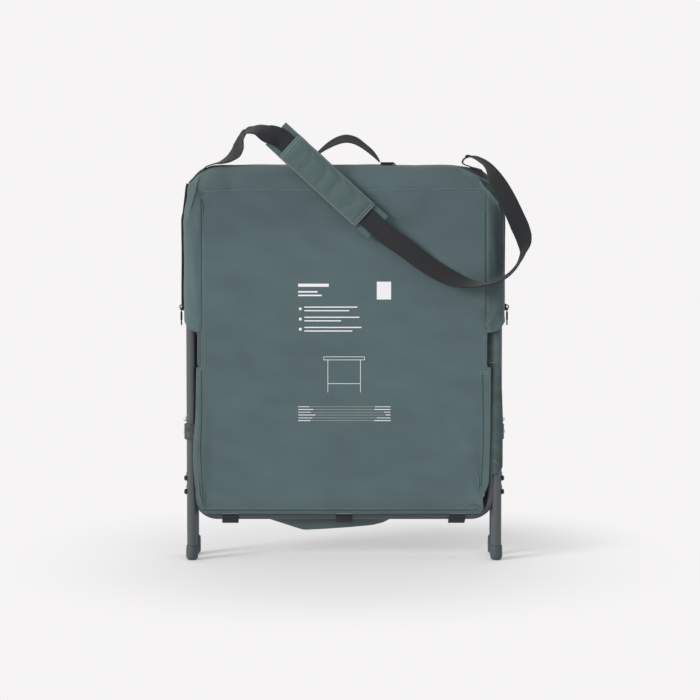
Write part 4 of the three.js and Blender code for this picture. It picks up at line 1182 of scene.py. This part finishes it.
for surface, facing, label in halves:
    tapes, teeth = [], []
    edge = cover["zipLine"] - facing * zips["gap"]
    for sign in (-1, 1):
        lines = [sideLine(surface, sign, edge - facing * share * zips["tape"], 0.0002)
                 for share in zips["tapeShares"]]
        tape = bmesh.new()
        bridgeRows(tape, [[tape.verts.new(spot) for spot, _ in row] for row in zip(*lines)])
        tapes.append(tape)
        toothLine = sideLine(surface, sign, edge - facing * zips["tooth"] * 0.45, 0.0001)
        dash, gap = (zips["toothPitch"] * share for share in (0.55, 0.45))
        teeth.append(stitchMesh([toothLine], dash, gap, zips["tooth"], zips["toothHeight"]))
        if label == "rear":
            line = sideLine(surface, sign, edge + zips["piping"][0], 0)
            tapes.append(stripMesh(line, zips["piping"][1], zips["pipingHeight"][sign]))
    finishPiece("zipTape." + label, joinMeshes(tapes), "tape", label + "_frame")
    finishPiece("zipTeeth." + label, joinMeshes(teeth), "dark", label + "_frame")
print("zips sewn in")


# Webbing tabs that hold the hem to the lower bar, each at its x with the lean of its lower side
tabs = {"width": 0.032, "thickness": 0.002, "edge": 0.0005, "radius": 0.0094, "slack": 0.0054,
        "y": -0.030, "z": 0.089,
        "places": {"left": (-0.225, 0), "middle": (0, 0), "right": (0.225, -0.0035)}}


def tabMesh(setup, x, lean):
    def place(u, v):
        angle = 2 * math.pi * v
        up = math.sin(angle)
        drop = 0 if up >= 0 else -setup["slack"]
        spread = setup["width"] * (u - 0.5) + lean * (0.5 - up / 2)
        return Vector((x + spread, setup["y"] + math.cos(angle) * setup["radius"],
                       setup["z"] + drop + up * setup["radius"]))

    mesh = mappedGrid(4, 32, place, setup["width"], 0.08)
    faceAwayFrom(mesh, (x, setup["y"], setup["z"] - setup["slack"] / 2))
    return mesh


for side, (x, lean) in tabs["places"].items():
    tab = finishPiece("barTab." + side, tabMesh(tabs, x, lean), "webbing", "front_frame",
                      ["bar_tab_" + side], "webbing")
    thicken(tab, tabs["thickness"], tabs["edge"])

# The grab handle and its sewn ends, two layers of webbing each
handle = {
    "width": 0.024,
    "thickness": 0.0024,
    "cup": 0.0008,
    "edge": 0.0007,
    "ridge": 0.781,
    "rise": [
        (-0.0639, 0.0054, 8, 0.5), (-0.06, 0.013, 10, 0.6), (-0.048, 0.025, 16, 0.8),
        (-0.031, 0.0375, 26, 1), (-0.013, 0.047, 36, 1), (0.004, 0.051, 40, 1), (0.021, 0.0475, 36, 1),
        (0.038, 0.037, 26, 1), (0.054, 0.024, 26, 0.85), (0.065, 0.0122, 20, 0.55), (0.07, 0.0052, 4, 0.4),
    ],
    "middle": 0.003,
    "halfSpan": 0.0686,
    "endBevel": 0.0005,
    # length, narrower by, low and height of each layer
    "endLayers": [(0.030, 0, 0.0003, 0.0022), (0.0265, 0.001, 0.0027, 0.0022)],
}
handleRoute = [(x, 0, handle["ridge"] + rise, turn, share) for x, rise, turn, share in handle["rise"]]
loopMesh = webbingMesh(routeFrames(handleRoute), handle["width"], handle["cup"])
loop = finishPiece("grabHandleWebbing", loopMesh, "webbing", "grab_handle", ["grab_handle"], "webbing")
thicken(loop, handle["thickness"], handle["edge"])


def handleEndMesh(setup, sign):
    layers = []
    for length, narrower, low, height in setup["endLayers"]:
        x = setup["middle"] + sign * (setup["halfSpan"] + length / 2)
        size = (length, setup["width"] - narrower, height)
        layers.append(bevelledBox(size, (x, 0, setup["ridge"] + low + height / 2), setup["endBevel"]))
    return joinMeshes(layers)


for side, sign in (("left", -1), ("right", 1)):
    finishPiece("handleEndWebbing." + side, handleEndMesh(handle, sign), "webbing", "front_frame",
                ["handle_end_" + side], "webbing")
print("webbing cut")


# Shoulder pad: a padded sleeve with a flap behind the strap at each end
pad = {
    "length": 0.204,
    "width": 0.060,
    "thickness": 0.011,
    "wall": 0.0012,
    "flapLength": 0.034,
    "flapOverlap": 0.012,
    "flapThickness": 0.0016,
    "flapBack": 0.0024,
    "flapEdge": 0.0005,
    "crown": 0.0012,
    "pressure": 4.0,
    "spareCloth": 0.015,
    "frames": 20,
    "mostMove": 0.005,
    "stitchSize": (0.0036, 0.0008, 0.0014, 0.0007),
    "stitchInset": 0.0024,
    "stitchRows": (0.0024, 0.0074),
}


def padBasis():
    start, end = (Vector(strap["route"][strap[key]][:3]) for key in ("padStart", "padEnd"))
    along = (end - start).normalized()
    level = (Vector((0, 1, 0)) - along * along.y).normalized()
    across = along.cross(level)
    basis = Matrix((across, along.cross(across), along)).transposed().to_4x4()
    basis.translation = start
    return basis


padFrame = padBasis()


def padSleeveMesh(setup):
    def place(u, v):
        angle = 2 * math.pi * u
        c, s = math.cos(angle), math.sin(angle)
        mouth = min(v, 1 - v)
        pinch = 1 - 0.42 * smooth(0.07, 0.0, mouth) * (1 if abs(c) < 0.8 else 0.4)
        x = math.copysign(abs(c) ** 0.55, c) * setup["width"] / 2
        y = math.copysign(abs(s) ** 0.75, s) * (setup["thickness"] / 2 - 0.0004 + setup["crown"]) * pinch
        ripple = 0.0007 * noise.noise(Vector((c * 2, s * 2, v * 9)))
        return Vector((x + ripple, y + ripple * (1 if s > 0 else -1), v * setup["length"]))

    mesh = mappedGrid(40, 44, place, 0.15, setup["length"])
    weld(mesh)
    faceAwayFrom(mesh, (0, 0, setup["length"] / 2))
    return mesh


def padFlapMesh(setup, low, high):
    def place(u, v):
        lift = 0.0006 * noise.noise(Vector((u * 3, v * 5, low * 40)))
        return Vector(((u - 0.5) * setup["width"] * 0.985, -setup["flapBack"] + lift, lerp(low, high, v)))

    return mappedGrid(16, 12, place, setup["width"], high - low)


padSleeve = finishPiece("shoulderPadSleeve", movedTo(padSleeveMesh(pad), padFrame), "pad", "shoulder_pad",
                        ["shoulder_pad"], "pad_fabric")


# The filling pushes the sleeve's front face out between its sewn edges: a short cloth simulation
def puffSleeve(piece, setup):
    sewn = piece.vertex_groups.new(name="sewn")
    toPad = padFrame.inverted()
    half = setup["width"] / 2
    for vert in piece.data.vertices:
        local = toPad @ vert.co
        free = smooth(half - 0.0035, half - 0.009, abs(local.x)) if local.y > 0 else 0
        free *= smooth(0.006, 0.016, min(local.z, setup["length"] - local.z))
        sewn.add([vert.index], 1 - free, "REPLACE")
    before = [vert.co.copy() for vert in piece.data.vertices]
    modifier = piece.modifiers.new("Puff", "CLOTH")
    settings = modifier.settings
    settings.vertex_group_mass = "sewn"
    settings.use_pressure = True
    settings.uniform_pressure_force = setup["pressure"]
    settings.shrink_min = -setup["spareCloth"]
    settings.effector_weights.gravity = 0
    settings.quality = 8
    modifier.collision_settings.use_collision = False
    modifier.point_cache.frame_start = 1
    modifier.point_cache.frame_end = setup["frames"]
    for step in range(1, setup["frames"] + 1):
        scene.frame_set(step)
    settled = piece.evaluated_get(bpy.context.evaluated_depsgraph_get()).data
    after = [vert.co.copy() for vert in settled.vertices]
    piece.modifiers.remove(modifier)
    piece.vertex_groups.remove(sewn)
    scene.frame_set(1)
    most = 0
    for vert, old, new in zip(piece.data.vertices, before, after):
        move = new - old
        move.length = min(move.length, setup["mostMove"])
        most = max(most, move.length)
        vert.co = old + move
    print("pad puffed,", round(most * 1000, 2), "mm at most")


puffSleeve(padSleeve, pad)
addSolidify(padSleeve, pad["wall"], -1)
addSubdivision(padSleeve)
for end, low, high in (("upper", -pad["flapLength"], pad["flapOverlap"]),
                       ("lower", pad["length"] - pad["flapOverlap"], pad["length"] + pad["flapLength"])):
    flap = finishPiece("shoulderPadFlap." + end, movedTo(padFlapMesh(pad, low, high), padFrame), "pad",
                       "shoulder_pad", ["shoulder_pad"], "pad_fabric")
    thicken(flap, pad["flapThickness"], pad["flapEdge"], 0.8)


# Stitching along the sleeve's long edges and twice across each mouth, on both faces
def padStitchLines(setup):
    surface = surfaceOf(padSleeve)
    half = setup["width"] / 2 - setup["stitchInset"]
    length = setup["length"]
    spans = [((x, 0.004), (x, length - 0.004)) for x in (-half, half)]
    spans += [((-half, z), (half, z)) for z in setup["stitchRows"]]
    spans += [((-half, length - z), (half, length - z)) for z in setup["stitchRows"]]
    lines = []
    for face in (1, -1):
        out = (padFrame.to_3x3() @ Vector((0, face, 0))).normalized()
        for ends in spans:
            points = steppedLine([Vector((x, 0, z)) for x, z in ends])
            lines.append(laidOn(surface, [padFrame @ point for point in points], out, 0.0001))
    return lines


padStitches = stitchMesh(padStitchLines(pad), *pad["stitchSize"])
finishPiece("shoulderPadStitches", padStitches, "thread", "shoulder_pad")
print("pad sewn")


# The unit's own folded fabric body, which sags below the bar
body = {
    "width": 0.540,
    "front": -0.0190,
    "back": 0.0180,
    "top": 0.560,
    "bottomLine": [(-0.27, 0.0845), (-0.16, 0.08), (-0.0985, 0.06), (-0.082, 0.055), (-0.0765, 0.0547),
                   (-0.0377, 0.0567), (0.0135, 0.0602), (0.0567, 0.0642), (0.078, 0.0698),
                   (0.0902, 0.0762), (0.098, 0.083), (0.27, 0.0845)],
    "tone": 1.14,
    "mottle": 0.25,
}


def fabricBodyMesh(setup):
    halfDepth = (setup["back"] - setup["front"]) / 2
    middle = (setup["back"] + setup["front"]) / 2

    def place(u, v):
        x = (v - 0.5) * setup["width"]
        angle = 2 * math.pi * u
        c, s = math.cos(angle), math.sin(angle)
        depth = halfDepth * (0.75 + 0.25 * smooth(0.0, 0.03, min(v, 1 - v)))
        y = middle + math.copysign(abs(s) ** 0.5, s) * depth
        height = (math.copysign(abs(c) ** 0.35, c) + 1) / 2
        z = lerp(tableAt(setup["bottomLine"], x), setup["top"], height)
        return Vector((x, y + 0.0010 * noise.noise(Vector((x * 9, y * 22, z * 5))), z))

    def toneAt(point):
        place = Vector((point.x * 25, point.y * 60, point.z * 40))
        return setup["tone"] + setup["mottle"] * noise.noise(place)

    mesh = mappedGrid(48, 90, place, 1.0, setup["width"])
    weld(mesh, capped=True)
    faceAwayFrom(mesh, (0, middle, 0.3))
    paintTone(mesh, toneAt)
    return mesh


finishPiece("foldedBodyCloth", fabricBodyMesh(body), "body", "front_frame", ["fabric_body"], "cover_fabric")

# Its side cloth wraps the right front leg
sideCloth = {
    "x": 0.301, "y": -0.030, "low": 0.186, "high": 0.470, "radius": 0.01115,
    "swell": [(0.186, 1.36), (0.288, 1.36), (0.330, 1.17), (0.381, 1.0), (0.470, 1.0)],
    "flapFrom": 0.385, "flapInner": 0.2805, "lowInner": 0.2855, "flapShare": 0.35, "thickness": 0.0012,
    "slant": 0.017, "slantTop": 0.12, "stitchSize": (0.0026, 0.0008, 0.0009, 0.0005),
    "stitches": [[(0.2830, 0.3935), (0.2975, 0.3930)], [(0.2935, 0.2000), (0.3060, 0.1920)]],
}


def sideClothMesh(setup):
    def place(u, v):
        z = lerp(setup["low"], setup["high"], v)
        radius = setup["radius"] * tableAt(setup["swell"], z)
        angle = math.radians(lerp(-128, lerp(-42, -64, smooth(0.372, 0.390, z)), u))
        point = Vector((setup["x"] + math.cos(angle) * radius, setup["y"] + math.sin(angle) * radius, z))
        flap = u / setup["flapShare"]
        if flap < 1:
            widened = smooth(setup["flapFrom"] - 0.03, setup["flapFrom"], z)
            inner = lerp(setup["lowInner"], setup["flapInner"], widened)
            flat = Vector((lerp(inner, point.x, flap), setup["y"] - setup["radius"], z))
            point = point.lerp(flat, 1 - flap)
        if v < setup["slantTop"]:
            point.z -= setup["slant"] * (1 - v / setup["slantTop"]) * (1 - u) ** 0.7
        return point

    # painted shade inside the right notch, under the hood's hem and along the cloth's inner edge, darker
    # below the notch's bottom, with random patches
    def toneAt(point):
        shade = 0.45 * smooth(0.340, 0.378, point.z) * smooth(0.2965, 0.288, point.x)
        shade += 0.30 * smooth(0.425, 0.455, point.z)
        shade += 0.25 * smooth(0.2945, 0.291, point.x)
        tone = lerp(0.80, 1.1, smooth(0.385, 0.40, point.z)) - shade
        return max(0.3, tone + 0.2 * noise.noise(point * 60))

    mesh = mappedGrid(22, 60, place, 0.03, setup["high"] - setup["low"])
    faceAwayFrom(mesh, (setup["x"], setup["y"], 0.33))
    ruffle(mesh, 0.0006, 40, 4.4, lambda point: smooth(-0.030, -0.038, point.y))
    paintTone(mesh, toneAt)
    return mesh


legCloth = finishPiece("bodySideCloth", sideClothMesh(sideCloth), "body", "front_frame",
                       ["body_side_right"], "cover_fabric")
addSolidify(legCloth, sideCloth["thickness"], 0)
addSubdivision(legCloth)
legSurface = surfaceOf(legCloth)
legPoints = [steppedLine([Vector((x, -0.03, z)) for x, z in corners]) for corners in sideCloth["stitches"]]
legLines = [laidOn(legSurface, points, Vector((0, -1, 0)), 0.0002) for points in legPoints]
finishPiece("bodySideStitches", stitchMesh(legLines, *sideCloth["stitchSize"]), "thread", "front_frame")
print("body cloth folded")


# Frame tubes, feet and fittings
frameTube = {
    "legX": 0.301, "frameY": 0.030, "legRadius": 0.010, "legLow": 0.0043, "legHigh": 0.6727,
    "sideX": 0.3113,
    # piece, node, material, half span, height of the ends and of the flat, bend and radius
    "tubes": [("topBow.", "_top_bow", "paint", 0.301, 0.673, 0.753, 0.080, 0.010),
              ("lowerBar.", "_lower_bar", "barPaint", 0.290, 0.183, 0.089, 0.040, 0.008)],
    "caps": {"front": (0.0120, 0.029), "rear": (0.0133, 0.038)},
    "collarZ": (0.2404, 0.2714), "collarPinX": 0.3149,
    "collarEnd": [(0.0103, 0.0005), (0.0108, 0), (0.0130, 0), (0.0141, 0.0006), (0.0145, 0.0020),
                  (0.0145, 0.011), (0.0140, 0.0118)],
    "collarPin": [(0.0036, 0), (0.0036, 0.0012), (0.0032, 0.0022), (0.0021, 0.0030), (0, 0.0032)],
    "pivots": [("lower", 0.280, 0.006), ("upper", 0.640, 0.0016)],
    "screws": [(".1", 0.163), (".2", 0.136)],
    "screw": [(0.0026, -0.0295), (0.0026, 0), (0.0054, 0), (0.0056, 0.0004), (0.0056, 0.0012),
              (0.0053, 0.0024), (0.0046, 0.0036), (0.0034, 0.0045), (0.0024, 0.0049), (0.0021, 0.0048),
              (0.0019, 0.0030), (0, 0.0028)],
}


def tubeMesh(points, radius, sides=28):
    frames = []
    level = Vector((0, 1, 0))
    for i, point in enumerate(points):
        along = directionAt(points, i)
        level = (level - along * along.dot(level)).normalized()
        frames.append((point, level, along.cross(level)))
    count = len(points) - 1

    def place(u, v):
        point, first, second = frames[round(v * count)]
        angle = 2 * math.pi * u
        return point + (first * math.cos(angle) + second * math.sin(angle)) * radius

    mesh = mappedGrid(sides, count, place, 2 * math.pi * radius, 1)
    weld(mesh, capped=True)
    bmesh.ops.recalc_face_normals(mesh, faces=mesh.faces)
    return mesh


def bentU(halfSpan, endZ, flatZ, bend, y):
    way = 1 if flatZ > endZ else -1
    left = []
    for step in range(13):
        angle = step / 12 * math.pi / 2
        x, z = bend - bend * math.cos(angle), bend * (1 - math.sin(angle))
        left.append(Vector((x - halfSpan, y, flatZ - way * z)))
    if abs(left[0].z - endZ) > 0.002:
        left.insert(0, Vector((-halfSpan, y, endZ)))
    return left + [Vector((-point.x, y, point.z)) for point in reversed(left)]


def footProfile(wide, tall):
    return [(0, 0), (0.0066, 0), (0.0088, 0.0008), (0.0104, 0.0026), (wide - 0.0004, 0.0052),
            (wide, 0.0082), (wide, tall * 0.5), (wide - 0.0001, tall - 0.0055),
            (wide - 0.0005, tall - 0.0022), (wide - 0.0012, tall - 0.0004), (0.0112, tall),
            (0.0103, tall - 0.0002), (0.0103, tall - 0.004)]


def domeProfile(tall):
    arc = [step * math.pi / 12 for step in range(6)]
    dome = [(0.0042 * math.cos(angle), tall * (0.35 + 0.65 * math.sin(angle))) for angle in arc]
    return [(0.0030, -0.0250), (0.0030, 0.0), (0.0042, 0.0)] + dome + [(0, tall)]


# The spun pieces of a leg: name, node, ending, material, slot, profile, steps and, on its side, x and z
def legPieces(setup, frameName):
    legLow, legHigh, radius = setup["legLow"], setup["legHigh"], setup["legRadius"]
    leg = [(0.0088, legHigh), (0.0094, legHigh), (radius, legHigh - 0.0006), (radius, legLow),
           (0.0088, legLow)]
    low, high = setup["collarZ"]
    collar = [(wide, low + rise) for wide, rise in setup["collarEnd"]]
    collar += [(wide, high - rise) for wide, rise in reversed(setup["collarEnd"])]
    foot = footProfile(*setup["caps"][frameName])
    rows = [
        ("leg.", "leg", "", "paint", "frame_paint", leg, 36, None),
        ("footCap.", "foot_cap", "", "cap", "cap_plastic", foot, 40, None),
        ("collar.", "collar", "", "dark", "black_plastic", collar, 40, None),
        ("collarPin.", "collar", "", "steel", "pale_steel", setup["collarPin"], 24,
         (setup["collarPinX"], (low + high) / 2)),
    ]
    rows += [(level + "Pivot.", level + "_pivot", "", "steel", "pale_steel", domeProfile(tall), 24,
              (setup["sideX"], z)) for level, z, tall in setup["pivots"]]
    rows += [("barScrew.", "bar_screw", ending, "blackSteel", "black_steel", setup["screw"], 24,
              (setup["sideX"], z)) for ending, z in setup["screws"]]
    return rows


def outwardX(sign, x, y, z):
    return Matrix.Translation((sign * x, y, z)) @ Matrix.Rotation(sign * math.pi / 2, 4, "Y")


for name, facing in (("front", -1), ("rear", 1)):
    y = facing * frameTube["frameY"]
    for label, node, material, *shape, radius in frameTube["tubes"]:
        tube = tubeMesh(bentU(*shape, y), radius)
        finishPiece(label + name, tube, material, name + "_frame", [name + node], "frame_paint")
    for side, sign in (("left", -1), ("right", 1)):
        for label, node, ending, material, slot, profile, steps, spot in legPieces(frameTube, name):
            place = Matrix.Translation((sign * frameTube["legX"], y, 0))
            if spot:
                place = outwardX(sign, spot[0], y, spot[1])
            node = f"{name}_{node}_{side}" + ending.replace(".", "_")
            finishPiece(label + name + side.capitalize() + ending, movedTo(spunMesh(profile, steps), place),
                        material, name + "_frame", [node], slot)
print("frame tubes and fittings made")


# Pieces whose CAD shape is kept, with softened edges
def softenedCopy(node, name, material, body, slot, bevel):
    mesh = bmesh.new()
    mesh.from_mesh(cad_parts[node].data)
    bmesh.ops.remove_doubles(mesh, verts=mesh.verts, dist=1e-5)
    bmesh.ops.dissolve_limit(mesh, angle_limit=math.radians(1), verts=mesh.verts, edges=mesh.edges)
    bmesh.ops.recalc_face_normals(mesh, faces=mesh.faces)
    addBevel(finishPiece(name, mesh, material, body, [node], slot, sharp=35), bevel)


wire = [(zips["ring"] + zips["ringWire"] * math.cos(turn), zips["ringWire"] * math.sin(turn))
        for turn in (step * math.pi / 5 for step in range(11))]
for side, sign in (("left", -1), ("right", 1)):
    for level in ("lower", "upper"):
        for end in ("front", "rear"):
            node, name = f"{level}_rail_{end}_{side}", level + "Rail." + end + side.capitalize()
            softenedCopy(node, name, "paint", node, "frame_paint", 0.0005)
    pull = "zip_pull_" + side
    slider = "zip_slider_" + side
    softenedCopy(slider, "zipSlider." + side, "blackSteel", slider, "black_steel", 0.0005)
    softenedCopy(pull, "zipPull." + side, "blackSteel", pull, "black_plastic", 0.0003)
    x, y, z = zips["ringPlace"]
    place = Matrix.Translation((sign * x, y, z)) @ Matrix.Rotation(math.pi / 2, 4, "X")
    finishPiece("zipRing." + side, movedTo(spunMesh(wire, 24), place), "blackSteel", pull)
    x, y = zips["gripPlace"]
    for name, z, size in zips["grips"]:
        finishPiece(name + side, bevelledBox(size, (sign * x, y, z), zips["gripBevel"]), "blackSteel", pull)
for node, name, material, slot, bevel in (
    ("worktop_leaf_front", "worktopLeaf.front", "board", "board", 0.001),
    ("worktop_leaf_rear", "worktopLeaf.rear", "board", "board", 0.001),
    ("shelf_board", "shelfBoard", "board", "board", 0.001),
    ("worktop_hinge_strip", "worktopHingeStrip", "dark", "black_plastic", 0.0004),
):
    softenedCopy(node, name, material, "front_frame", slot, bevel)
print("rails and boards made")


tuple(strap["route"][0][:3])
[tuple(row[0]) for row in strapFrames]
